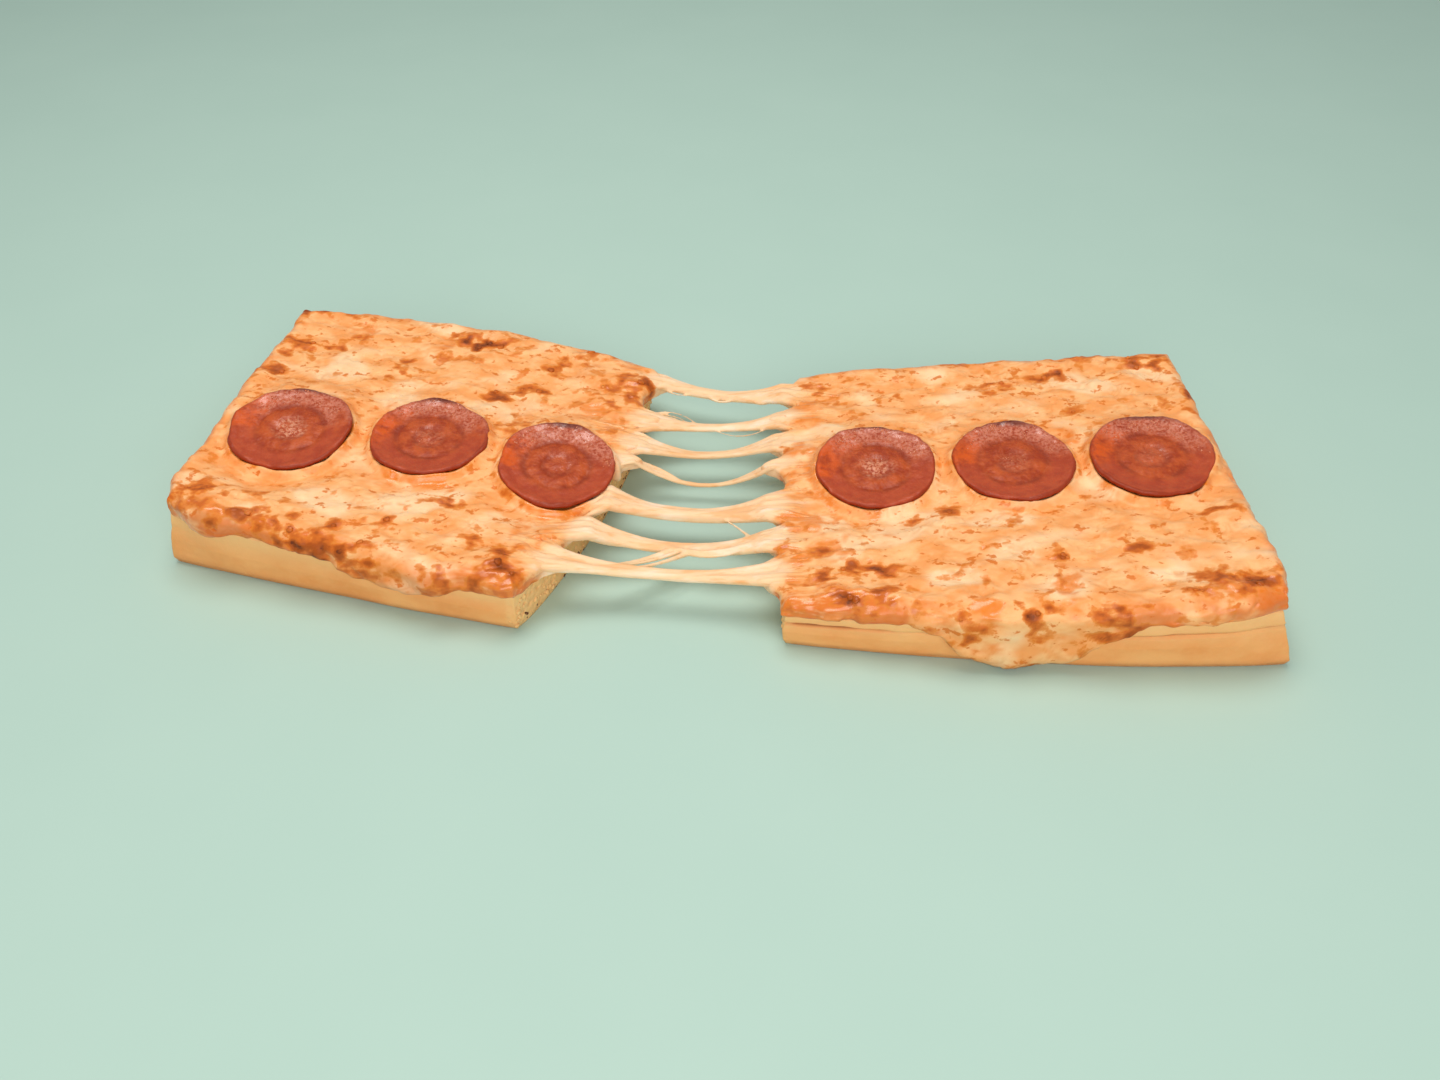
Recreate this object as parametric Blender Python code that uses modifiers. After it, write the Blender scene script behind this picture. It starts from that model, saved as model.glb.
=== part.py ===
"""A thick square-cut pepperoni pizza slice pulled apart into two halves, joined by strings of melted cheese.

Each half has a bread base, a layer of tomato sauce, and three pepperoni rounds on the cheese. The cheese is
one piece: a cap on each half and the strings that stretch between them.
Lengths are in millimetres until in_metres() places them. X runs along the pull and -Y is the front.
"""

import math
from dataclasses import dataclass

import bmesh
import bpy
from mathutils import Vector, noise

MM = 0.001
GAP = 0.3

# The middle of the slice's plan, which becomes the origin
CENTRE_X = 1.36
CENTRE_Y = -0.21

# Outlines: how far and how tightly the corners are rounded, the points along a side, and how much a half's
# plan is narrower from front to back than its corners' reach, because it is skewed
CORNER_CUT = 0.012
CORNER_POWER = 6
OUTLINE_STEPS = 11
SKEW_NARROWING = 0.85

# The bread's wall from its foot up: share of the bread's height, further lift, and inset from its outline
BREAD_LEVELS = (
    (0.0, 0.0, 1.0),
    (0.0, 0.7, 0.5),
    (0.0, 2.6, -0.3),
    (0.5, 0.0, -0.7),
    (0.67, 0.0, -0.3),
    (0.72, 0.0, 0.4),
    (0.78, 0.0, -0.2),
    (1.0, -0.8, -0.1),
    (1.0, 0.0, 0.7),
)
TORN_INSET_SHARE = 0.25
FLARE_START = 0.6

SAUCE_THICKNESS = 1.2
SAUCE_INSET = 0.5
SAUCE_EDGE = 0.6
CHEESE_FLOOR = GAP + SAUCE_THICKNESS + GAP

# Cheese: thickness at the outer and torn ends, the roll and swell of its edge, and how far it overhangs, with
# more at a drip and less at a half's outer front corner
CHEESE_OUTER = 4.4
CHEESE_TORN = 3.0
EDGE_ROLL = 4.0
TORN_ROLL = 2.4
EDGE_SWELL = 0.9
SWELL_MIDDLE = 5.0
SWELL_WIDTH = 4.0
OVERHANG = 1.2
OVERHANG_FADE = 4
DRIP_REACH = 1.4
DRIP_START = 3.0
CORNER_TUCK = 3.5
TUCK_START = 0.72

# The cheese's underside: how far its rim hangs below the bread's top, and how it turns in to the bread
SKIRT = 0.3
TORN_SKIRT = -0.5
RIM_TUCK = 0.5
RIM_INSET = 3.0
RIM_DROP = 1.2
HIDDEN_DEPTH = 6.0
DRIP_CLEARANCE = 1.6
DRIP_SQUARENESS = 3.2

# The torn edge of the cheese is pulled out into a lip where each string leaves it
LIP_REACH = 7.5
LIP_WIDTH = 3.0
LIP_PER_RADIUS = 1.25
LIP_START = 0.86

# The cap's grid, with lines closer together towards its edges
CAP_CELLS_X = 25
CAP_CELLS_Y = 34
EDGE_EASE = 1.45
CUTTER_DEPTH = 5.0

# A pepperoni round: its profile from the middle of its top to the middle of its underside, and its wobble
PEPPERONI_RADIUS = 19.0
PEPPERONI_STEPS = 24
PEPPERONI_PROFILE = (
    (0.0, 2.0),
    (3.4, 1.6),
    (6.6, 2.2),
    (10.0, 2.0),
    (14.6, 2.3),
    (17.6, 3.0),
    (18.7, 2.9),
    (19.0, 2.3),
    (18.0, 1.2),
    (13.0, 0.1),
    (0.0, 0.0),
)
OUTLINE_WOBBLE = 0.07
RIM_WOBBLE = 0.5
WOBBLE_LOBES = 1.7
SEAT_DEPTH = 0.2
SEAT_FLAT = 21.0
SEAT_BLEND = 26.0

# Strings: points along each, where it leaves the lip, and the tip that is buried in the cheese
STRING_POINTS = 13
ROOT_BEHIND_LIP = 1.5
ROOT_RISE = 1.5
ROOT_FLARE = 0.9
BURIED_RUN = 4.0
BURIED_TIP = 0.8
BURIED_RISE = 0.1

WELD = 0.00001


@dataclass(frozen=True)
class Wave:
    """Smooth noise: its height, the distance between its bumps, and the seed that picks its pattern."""

    height: float
    size: float
    seed: float


BREAD_WAVE = Wave(0.35, 22.0, 3.0)
SAUCE_WAVE = Wave(0.4, 9.0, 8.0)
EDGE_WAVES = (Wave(0.9, 16.0, 5.0), Wave(0.5, 7.0, 6.0))
SKIRT_WAVE = Wave(0.5, 9.0, 7.0)
CHEESE_LUMPS = (Wave(0.75, 15.0, 1.0), Wave(0.35, 6.5, 2.0))
OUTLINE_SPAN = 60.0


@dataclass(frozen=True)
class Half:
    """One half of the slice. Corners go front left, front right, back right, back left.

    The flare is how much further out the bread's foot reaches than its top at the outer end.
    """

    name: str
    corners: tuple
    torn_sign: int
    front_bulge: float
    back_bulge: float
    torn_bulge: float
    outer_height: float
    torn_height: float
    drips: tuple
    pepperoni: tuple
    mounds: tuple
    flare: float


@dataclass(frozen=True)
class Mound:
    """A heap in the cheese: its middle, its radius and its height."""

    x: float
    y: float
    radius: float
    height: float


@dataclass(frozen=True)
class Drip:
    """A run of cheese down the front face: its middle and half width along X, and its depth."""

    x: float
    half_width: float
    depth: float


@dataclass(frozen=True)
class Round:
    """A pepperoni round: its centre, and its tilt towards the front and to the right, in degrees."""

    x: float
    y: float
    forward_tilt: float
    right_tilt: float


@dataclass(frozen=True)
class CheeseString:
    """A string of cheese: where it leaves each half, how far it sags, and its radius at mid-span."""

    left_y: float
    right_y: float
    sag: float
    radius: float


LEFT = Half(
    name="left",
    corners=((-166.5, -33.5), (-55.0, -64.0), (-19.5, 53.5), (-150.0, 79.5)),
    torn_sign=1,
    front_bulge=0.5,
    back_bulge=7.5,
    torn_bulge=6.0,
    outer_height=20.0,
    torn_height=13.0,
    drips=(Drip(-93.0, 17.0, 5.5), Drip(-155.0, 12.0, 2.4), Drip(-70.0, 9.0, 0.6)),
    pepperoni=(
        Round(-134.9, 3.7, 7.5, 3.0),
        Round(-90.2, 3.2, 3.0, 3.5),
        Round(-47.6, -8.0, 6.0, 5.5),
    ),
    mounds=(
        Mound(-34.0, 46.0, 15.0, 1.8),
        Mound(-68.0, 60.0, 18.0, 1.4),
        Mound(-152.0, -25.0, 12.0, 0.8),
        Mound(-62.0, -58.0, 9.0, 0.9),
    ),
    flare=2.0,
)
RIGHT = Half(
    name="right",
    corners=((23.0, -69.5), (166.0, -79.0), (163.0, 48.0), (34.0, 47.0)),
    torn_sign=-1,
    front_bulge=3.0,
    back_bulge=1.0,
    torn_bulge=1.5,
    outer_height=21.0,
    torn_height=13.0,
    drips=(Drip(92.0, 23.0, 15.0), Drip(52.0, 9.0, 0.4), Drip(143.0, 12.0, 0.4)),
    pepperoni=(
        Round(54.7, -10.5, 5.5, -3.0),
        Round(98.0, -11.6, 2.5, -3.8),
        Round(141.2, -12.6, 3.0, -3.4),
    ),
    mounds=(Mound(44.0, -64.0, 13.0, 0.9), Mound(60.0, 44.0, 14.0, 1.0), Mound(150.0, -70.0, 14.0, 0.7)),
    flare=4.5,
)
STRINGS = (
    CheeseString(46.5, 37.5, 3.1, 1.9),
    CheeseString(23.5, 22.5, 3.1, 1.4),
    CheeseString(10.0, 9.5, 5.3, 1.5),
    CheeseString(1.0, -2.5, 9.6, 1.0),
    CheeseString(-19.6, -24.5, 4.7, 2.2),
    CheeseString(-34.0, -40.0, 5.8, 1.7),
    CheeseString(-49.8, -55.3, 2.7, 1.8),
)

COLOURS = {
    "bread": (0.74, 0.42, 0.16, 1.0),
    "sauce": (0.62, 0.15, 0.03, 1.0),
    "cheese": (0.93, 0.57, 0.26, 1.0),
    "pepperoni": (0.42, 0.08, 0.035, 1.0),
}
ROUGHNESS = {"bread": 0.75, "sauce": 0.35, "cheese": 0.42, "pepperoni": 0.38}


def in_metres(x, y, z):
    """A point on the slice, measured from the middle of the space that it takes up."""
    return Vector((x - CENTRE_X, y - CENTRE_Y, z)) * MM


def mix(low, high, share):
    return low + (high - low) * share


def smooth(low, high, value):
    """0 below low, 1 above high, and a smooth rise between."""
    share = min(1.0, max(0.0, (value - low) / (high - low)))
    return share * share * (3 - 2 * share)


def ripple(wave, x, y, layer=0.0):
    """Height of the wave at a place. Another layer gives another pattern of the same kind."""
    return wave.height * noise.noise(Vector((x / wave.size, y / wave.size, wave.seed + layer)))


def outline_ripple(wave, a, b, layer=0.0):
    """Height of the wave at the point (a, b) of a half's plan."""
    return ripple(wave, OUTLINE_SPAN * a, OUTLINE_SPAN * b, layer)


def plan(half, a, b):
    """Where a point of a square from -1 to 1 lies on the half's plan: a runs along X and b to the back."""
    front_left, front_right, back_right, back_left = half.corners
    rounded = 1 - CORNER_CUT * (abs(a) * abs(b)) ** CORNER_POWER
    right = (1 + a * rounded) / 2
    back = (1 + b * rounded) / 2
    x = mix(mix(front_left[0], front_right[0], right), mix(back_left[0], back_right[0], right), back)
    y = mix(mix(front_left[1], front_right[1], right), mix(back_left[1], back_right[1], right), back)
    y -= half.front_bulge * (1 - a * a) * (1 - back)
    y += half.back_bulge * (1 - a * a) * back
    near_tear = right if half.torn_sign > 0 else 1 - right
    x += half.torn_sign * half.torn_bulge * (1 - b * b) * near_tear
    return x, y


def half_size(half):
    """Half the width and half the depth of a half's plan."""
    xs = [corner[0] for corner in half.corners]
    ys = [corner[1] for corner in half.corners]
    return (max(xs) - min(xs)) / 2, (max(ys) - min(ys)) / 2 * SKEW_NARROWING


def torn_share(half, x):
    """How far x lies from the outer end, at 0, to the torn end, at 1, taken at the middle of each end."""
    front_left, front_right, back_right, back_left = half.corners
    left = (front_left[0] + back_left[0]) / 2
    right = (front_right[0] + back_right[0]) / 2
    share = (x - left) / (right - left)
    return share if half.torn_sign > 0 else 1 - share


def bread_top(half, x):
    """Height of the bread's flat top, which slopes down to the torn end."""
    return mix(half.outer_height, half.torn_height, torn_share(half, x))


def on_torn_side(half, a, b):
    """1 at the middle of the torn side, 0 on the crusty sides."""
    return smooth(0.75, 0.97, half.torn_sign * a) * smooth(1.02, 0.9, abs(b))


def outline(half):
    """Points (a, b) round the square, closer together near its corners."""
    steps = [math.sin(math.pi / 2 * (2 * i / OUTLINE_STEPS - 1)) for i in range(OUTLINE_STEPS)]
    front = [(s, -1.0) for s in steps]
    right = [(1.0, s) for s in steps]
    back = [(-s, 1.0) for s in steps]
    left = [(-1.0, -s) for s in steps]
    return front + right + back + left


def ring(half, inset, height_at, flare=0.0):
    """The half's outline moved in by inset(a, b) millimetres, and out by the flare at its outer end, at height_at(x)."""
    width, depth = half_size(half)
    points = []
    for a, b in outline(half):
        inwards = inset(a, b)
        outwards = flare * smooth(FLARE_START, 1.0, -half.torn_sign * a)
        x, y = plan(half, a * (1 + (outwards - inwards) / width), b * (1 - inwards / depth))
        points.append(in_metres(x, y, height_at(x)))
    return points


def loft(name, rings):
    """A closed solid through rings of as many points each, from the lowest up."""
    mesh_maker = bmesh.new()
    loops = [[mesh_maker.verts.new(point) for point in points] for points in rings]
    count = len(loops[0])
    for lower, upper in zip(loops, loops[1:]):
        for i in range(count):
            j = (i + 1) % count
            mesh_maker.faces.new((lower[i], lower[j], upper[j], upper[i]))
    mesh_maker.faces.new(reversed(loops[0]))
    mesh_maker.faces.new(loops[-1])
    return new_object(name, mesh_maker)


def new_object(name, mesh_maker):
    bmesh.ops.recalc_face_normals(mesh_maker, faces=mesh_maker.faces)
    mesh = bpy.data.meshes.new(name)
    mesh_maker.to_mesh(mesh)
    mesh_maker.free()
    obj = bpy.data.objects.new(name, mesh)
    bpy.context.scene.collection.objects.link(obj)
    return obj


def bread_rings(half, grow=0.0):
    """The bread's outline at each level: a round foot, soft walls and a crease below the top."""

    def level(share, lift, inset):
        def inset_here(a, b):
            crust = 1 - on_torn_side(half, a, b)
            return inset * mix(TORN_INSET_SHARE, 1.0, crust) + outline_ripple(BREAD_WAVE, a, b, share) - grow

        return ring(half, inset_here, lambda x: bread_top(half, x) * share + lift, half.flare * (1 - share))

    return [level(*numbers) for numbers in BREAD_LEVELS]


def make_bread(half):
    return loft(f"bread_{half.name}", bread_rings(half))


def make_sauce(half):
    """The thin layer between bread and cheese, which shows at the sides."""

    def level(height, inset):
        def inset_here(a, b):
            return inset + outline_ripple(SAUCE_WAVE, a, b)

        return ring(half, inset_here, lambda x: bread_top(half, x) + height)

    underside = level(GAP, SAUCE_INSET + SAUCE_EDGE)
    middle = level(GAP + SAUCE_THICKNESS / 2, SAUCE_INSET)
    top = level(GAP + SAUCE_THICKNESS, SAUCE_INSET + SAUCE_EDGE)
    return loft(f"sauce_{half.name}", [underside, middle, top])


def seat_height(half, spot):
    """Height of the seat at a pepperoni round's centre."""
    return bread_top(half, spot.x) + CHEESE_FLOOR + cheese_thickness(half, spot.x) - SEAT_DEPTH


def seat_plane(half, spot, x, y):
    """Height of the tilted seat that a pepperoni round rests on."""
    forward = math.tan(math.radians(spot.forward_tilt))
    right = math.tan(math.radians(spot.right_tilt))
    return seat_height(half, spot) + forward * (y - spot.y) - right * (x - spot.x)


def cheese_thickness(half, x):
    return mix(CHEESE_OUTER, CHEESE_TORN, min(1.0, max(0.0, torn_share(half, x))))


def string_lip(half, y):
    """From 0 to 1: how far the torn edge is pulled out into the root of a string at this y."""
    pull = 0.0
    for string in STRINGS:
        root = string.left_y if half.torn_sign > 0 else string.right_y
        width = LIP_WIDTH + LIP_PER_RADIUS * string.radius
        pull = max(pull, math.exp(-(((y - root) / width) ** 2)))
    return pull


def drip_depth(half, x, b):
    """How far the cheese has run down the front face at this x."""
    depth = 0.0
    for drip in half.drips:
        depth = max(depth, drip.depth * math.exp(-(abs((x - drip.x) / drip.half_width) ** DRIP_SQUARENESS)))
    return depth * smooth(-0.55, -0.85, b)


def cheese_plan(half, a, b, overhang):
    """Plan position of the cheese, which reaches past the bread and is pulled out at the strings."""
    width, depth = half_size(half)
    crust = 1 - on_torn_side(half, a, b)
    tuck = CORNER_TUCK * smooth(TUCK_START, 1.0, -half.torn_sign * a) * smooth(TUCK_START, 1.0, -b)
    reach = overhang * crust - tuck + sum(outline_ripple(wave, a, b) for wave in EDGE_WAVES)
    near_edge = max(abs(a), abs(b)) ** OVERHANG_FADE
    x, y = plan(half, a * (1 + near_edge * reach / width), b * (1 + near_edge * reach / depth))
    y -= near_edge * DRIP_REACH * smooth(0, DRIP_START, drip_depth(half, x, b))
    pull = string_lip(half, y) * LIP_REACH * smooth(LIP_START, 1.0, half.torn_sign * a)
    return x + half.torn_sign * pull, y


def cheese_top(half, a, b):
    """A point of the cheese's upper surface, with its rolled edge, soft lumps and pepperoni seats."""
    x, y = cheese_plan(half, a, b, OVERHANG)
    width, depth = half_size(half)
    torn = on_torn_side(half, a, b)
    from_edge = min((1 - abs(a)) * width, (1 - abs(b)) * depth)
    roll = mix(EDGE_ROLL, TORN_ROLL, torn)
    inside = min(1.0, max(0.0, from_edge / EDGE_ROLL))
    fall = roll * (1 - math.sqrt(max(0.0, 1 - (1 - inside) ** 2)))
    lumps = sum(ripple(wave, x, y) for wave in CHEESE_LUMPS)
    swell = EDGE_SWELL * math.exp(-(((from_edge - SWELL_MIDDLE) / SWELL_WIDTH) ** 2)) * (1 - torn)
    for mound in half.mounds:
        lumps += mound.height * math.exp(-(math.hypot(x - mound.x, y - mound.y) / mound.radius) ** 2)
    z = bread_top(half, x) + CHEESE_FLOOR + cheese_thickness(half, x) + lumps + swell
    for spot in half.pepperoni:
        away = math.hypot(x - spot.x, y - spot.y)
        z = mix(seat_plane(half, spot, x, y) - GAP, z, smooth(SEAT_FLAT, SEAT_BLEND, away))
    return x, y, z - fall


def cheese_under(half, a, b, level):
    """A point below the cheese's edge: level 1 is the rim, 2 lies inside the bread and 3 well inside it."""
    edge_x, edge_y = cheese_plan(half, a, b, OVERHANG - RIM_TUCK)
    torn = on_torn_side(half, a, b)
    skirt = mix(SKIRT + outline_ripple(SKIRT_WAVE, a, b), TORN_SKIRT, torn)
    rim = max(DRIP_CLEARANCE, bread_top(half, edge_x) - skirt - drip_depth(half, edge_x, b))
    if level == 1:
        return edge_x, edge_y, rim
    width, depth = half_size(half)
    inset = RIM_INSET if level == 2 else 3 * RIM_INSET
    x, y = plan(half, a * (1 - inset / width), b * (1 - inset / depth))
    if level == 2:
        return x, y, min(rim, bread_top(half, x) - RIM_DROP)
    return x, y, half.torn_height - HIDDEN_DEPTH


def ease(value):
    """Spreads grid lines so that several lie near each edge."""
    return math.copysign(1 - (1 - abs(value)) ** EDGE_EASE, value)


def make_cheese_cap(half):
    """The cheese on one half, before it is cut to fit: a grid draped over the bread and closed underneath."""
    mesh_maker = bmesh.new()
    bmesh.ops.create_grid(mesh_maker, x_segments=CAP_CELLS_X, y_segments=CAP_CELLS_Y, size=1.0)
    spots = {vert: (ease(vert.co.x), ease(vert.co.y), 0) for vert in mesh_maker.verts}
    edges = [edge for edge in mesh_maker.edges if edge.is_boundary]
    for level in (1, 2, 3):
        made = bmesh.ops.extrude_edge_only(mesh_maker, edges=edges)["geom"]
        edges = [item for item in made if isinstance(item, bmesh.types.BMEdge) and item.is_boundary]
        for item in made:
            if isinstance(item, bmesh.types.BMVert):
                spots[item] = (ease(item.co.x), ease(item.co.y), level)
    bmesh.ops.contextual_create(mesh_maker, geom=edges)
    for vert, (a, b, level) in spots.items():
        place = cheese_top(half, a, b) if level == 0 else cheese_under(half, a, b, level)
        vert.co = in_metres(*place)
    return new_object(f"cap_{half.name}", mesh_maker)


def make_cutter(half):
    """The room that bread and sauce need under the cheese, from below the ground up to the sauce's top."""
    rings = bread_rings(half, grow=GAP)
    floor = [point - Vector((0, 0, CUTTER_DEPTH)) * MM for point in rings[0]]
    roof = ring(half, lambda a, b: -GAP, lambda x: bread_top(half, x) + CHEESE_FLOOR)
    return loft(f"cutter_{half.name}", [floor] + rings[:-1] + [roof])


def torn_edge_x(half, y):
    """X of the bread's torn edge at this y."""
    low, high = -1.0, 1.0
    for _ in range(24):
        b = (low + high) / 2
        if plan(half, half.torn_sign, b)[1] < y:
            low = b
        else:
            high = b
    return plan(half, half.torn_sign, (low + high) / 2)[0]


def string_path(string):
    """Points and radii along a string. Each end narrows to a tip that is buried in its half's cheese."""
    ends = []
    for half, y in ((LEFT, string.left_y), (RIGHT, string.right_y)):
        x = torn_edge_x(half, y) + half.torn_sign * (LIP_REACH - ROOT_BEHIND_LIP)
        ends.append((x, y, bread_top(half, x) + CHEESE_FLOOR + ROOT_RISE))
    (left_x, left_y, left_z), (right_x, right_y, right_z) = ends
    span = right_x - left_x
    path = []
    for i in range(STRING_POINTS):
        along = mix(-BURIED_RUN, span + BURIED_RUN, i / (STRING_POINTS - 1))
        t = min(1.0, max(0.0, along / span))
        buried = max(0.0, -along, along - span) / BURIED_RUN
        sag = string.sag * 4 * t * (1 - t)
        z = mix(left_z, right_z, t) - sag + BURIED_RISE * buried
        root = string.radius * (1 + ROOT_FLARE * abs(2 * t - 1) ** 3)
        place = in_metres(left_x + along, mix(left_y, right_y, t), z)
        path.append((place, mix(root, BURIED_TIP, buried) * MM))
    return path


def make_string(number, string):
    """One string as a bevelled curve, made a mesh so that it can be joined to the cheese."""
    curve = bpy.data.curves.new(f"string_{number}", "CURVE")
    curve.dimensions = "3D"
    curve.bevel_depth = 1.0
    curve.bevel_resolution = 1
    curve.use_fill_caps = True
    spline = curve.splines.new("POLY")
    spline.points.add(STRING_POINTS - 1)
    for point, (place, radius) in zip(spline.points, string_path(string)):
        point.co = (*place, 1.0)
        point.radius = radius
    guide = bpy.data.objects.new(curve.name, curve)
    bpy.context.scene.collection.objects.link(guide)
    return mesh_from(guide, curve.name)


def mesh_from(source, name):
    """A mesh object with the evaluated shape of source, which is removed."""
    graph = bpy.context.evaluated_depsgraph_get()
    mesh = bpy.data.meshes.new_from_object(source.evaluated_get(graph))
    matrix = source.matrix_world.copy()
    bpy.data.objects.remove(source)
    mesh_maker = bmesh.new()
    mesh_maker.from_mesh(mesh)
    bmesh.ops.remove_doubles(mesh_maker, verts=mesh_maker.verts, dist=WELD)
    obj = new_object(name, mesh_maker)
    obj.matrix_world = matrix
    return obj


def combine(target, operation, solver, others):
    """Joins the other solids to the target, or cuts them from it, and removes them."""
    helpers = bpy.data.collections.new(f"{target.name}_helpers")
    bpy.context.scene.collection.children.link(helpers)
    for other in others:
        bpy.context.scene.collection.objects.unlink(other)
        helpers.objects.link(other)
    boolean = target.modifiers.new(operation.lower(), "BOOLEAN")
    boolean.operation = operation
    boolean.solver = solver
    boolean.operand_type = "COLLECTION"
    boolean.collection = helpers
    bpy.context.view_layer.update()
    graph = bpy.context.evaluated_depsgraph_get()
    mesh = bpy.data.meshes.new_from_object(target.evaluated_get(graph))
    target.modifiers.clear()
    target.data = mesh
    for other in others:
        bpy.data.objects.remove(other)
    bpy.data.collections.remove(helpers)


def make_cheese():
    """The whole cheese: a cap cut to fit each half, and the strings, joined into one solid."""
    caps = []
    for half in (LEFT, RIGHT):
        cap = make_cheese_cap(half)
        combine(cap, "DIFFERENCE", "EXACT", [make_cutter(half)])
        caps.append(cap)
    cheese, other_cap = caps
    cheese.name = "cheese"
    strings = [make_string(number, string) for number, string in enumerate(STRINGS, start=1)]
    combine(cheese, "UNION", "MANIFOLD", [other_cap] + strings)
    return cheese


def make_pepperoni(half, number, spot):
    """A thin round with a cupped rim and a shallow ring round its middle, turned and then made uneven."""
    mesh_maker = bmesh.new()
    points = [mesh_maker.verts.new(Vector((r, 0, z)) * MM) for r, z in PEPPERONI_PROFILE]
    for upper, lower in zip(points, points[1:]):
        mesh_maker.edges.new((upper, lower))
    mesh = bpy.data.meshes.new("profile")
    mesh_maker.to_mesh(mesh)
    mesh_maker.free()
    profile = bpy.data.objects.new("profile", mesh)
    bpy.context.scene.collection.objects.link(profile)
    turn = profile.modifiers.new("turn", "SCREW")
    turn.axis = "Z"
    turn.steps = turn.render_steps = PEPPERONI_STEPS
    turn.use_merge_vertices = True
    turn.merge_threshold = WELD
    disc = mesh_from(profile, f"pepperoni_{half.name}_{number}")
    seed = 10.0 * number + spot.x
    for vert in disc.data.vertices:
        radius = math.hypot(vert.co.x, vert.co.y) / MM
        angle = math.atan2(vert.co.y, vert.co.x)
        share = (radius / PEPPERONI_RADIUS) ** 2
        lobe = Vector((math.cos(angle), math.sin(angle), 0)) * WOBBLE_LOBES
        wobble = share * noise.noise(lobe + Vector((0, 0, seed)))
        vert.co.x *= 1 + OUTLINE_WOBBLE * wobble
        vert.co.y *= 1 + OUTLINE_WOBBLE * wobble
        if vert.co.z > MM:
            vert.co.z += RIM_WOBBLE * MM * wobble
    disc.rotation_euler = (math.radians(spot.forward_tilt), math.radians(spot.right_tilt), 0)
    disc.location = in_metres(spot.x, spot.y, seat_height(half, spot))
    return disc


def finish(obj, kind):
    """Gives a piece its material."""
    material = bpy.data.materials.get(kind)
    if material is None:
        material = bpy.data.materials.new(kind)
        material.use_nodes = True
        shader = material.node_tree.nodes["Principled BSDF"]
        shader.inputs["Base Color"].default_value = COLOURS[kind]
        shader.inputs["Roughness"].default_value = ROUGHNESS[kind]
    obj.data.materials.clear()
    obj.data.materials.append(material)
    obj.data.shade_smooth()


def clear_scene():
    for obj in list(bpy.data.objects):
        bpy.data.objects.remove(obj)


def main():
    clear_scene()
    pieces = [(make_cheese(), "cheese")]
    for half in (LEFT, RIGHT):
        pieces.append((make_bread(half), "bread"))
        pieces.append((make_sauce(half), "sauce"))
        for number, spot in enumerate(half.pepperoni, start=1):
            pieces.append((make_pepperoni(half, number, spot), "pepperoni"))
    slice_parts = bpy.data.collections.new("pepperoni_pizza_slice")
    bpy.context.scene.collection.children.link(slice_parts)
    for obj, kind in pieces:
        finish(obj, kind)
        bpy.context.scene.collection.objects.unlink(obj)
        slice_parts.objects.link(obj)


main()
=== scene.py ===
"""Looks for a pepperoni pizza slice pulled apart into two halves joined by strings of melted cheese.

Each piece repeats the plan and heights of the CAD solid that it stands for, with finer relief on top.
Lengths are in millimetres in the design's own frame until in_metres() places them.
"""

import math
from dataclasses import dataclass

import bpy
import numpy as np
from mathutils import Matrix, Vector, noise


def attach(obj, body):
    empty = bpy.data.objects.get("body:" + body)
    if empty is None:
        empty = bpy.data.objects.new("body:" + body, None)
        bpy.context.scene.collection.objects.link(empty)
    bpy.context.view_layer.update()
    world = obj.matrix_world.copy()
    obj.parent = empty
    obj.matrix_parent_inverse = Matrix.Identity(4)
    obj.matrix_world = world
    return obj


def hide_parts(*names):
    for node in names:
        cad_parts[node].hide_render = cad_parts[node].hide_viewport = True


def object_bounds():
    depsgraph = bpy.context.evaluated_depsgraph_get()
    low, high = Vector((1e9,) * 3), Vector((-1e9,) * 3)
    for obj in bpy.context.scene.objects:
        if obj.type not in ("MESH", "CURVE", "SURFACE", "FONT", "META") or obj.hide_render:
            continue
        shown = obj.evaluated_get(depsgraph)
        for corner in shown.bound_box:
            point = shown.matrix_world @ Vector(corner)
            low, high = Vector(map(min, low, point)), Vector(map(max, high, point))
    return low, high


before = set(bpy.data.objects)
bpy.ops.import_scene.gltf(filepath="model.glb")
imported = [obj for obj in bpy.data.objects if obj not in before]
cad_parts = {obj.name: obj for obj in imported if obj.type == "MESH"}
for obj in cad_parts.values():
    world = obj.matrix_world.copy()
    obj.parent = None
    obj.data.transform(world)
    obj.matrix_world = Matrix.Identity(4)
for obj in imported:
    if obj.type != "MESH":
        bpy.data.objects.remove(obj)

MM = 0.001
CAD_BOX = [list(corner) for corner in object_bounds()]

# The middle of the slice's plan, which is the origin
CENTRE = (1.36, -0.21, 0.0)

# Plan and heights, as in the CAD solids
GAP = 0.3
CORNER_CUT = 0.012
CORNER_POWER = 6
SKEW_NARROWING = 0.85
BREAD_LEVELS = (
    (0.0, 0.0, 1.0),
    (0.0, 0.7, 0.5),
    (0.0, 2.6, -0.3),
    (0.5, 0.0, -0.7),
    (0.67, 0.0, -0.3),
    (0.72, 0.0, 0.4),
    (0.78, 0.0, -0.2),
    (1.0, -0.8, -0.1),
    (1.0, 0.0, 0.7),
)
STEPS_PER_LEVEL = (2, 4, 16, 8, 5, 5, 9, 3)
CREASE_LEVEL = 5
CREASE_HEIGHT = 0.72
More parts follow.
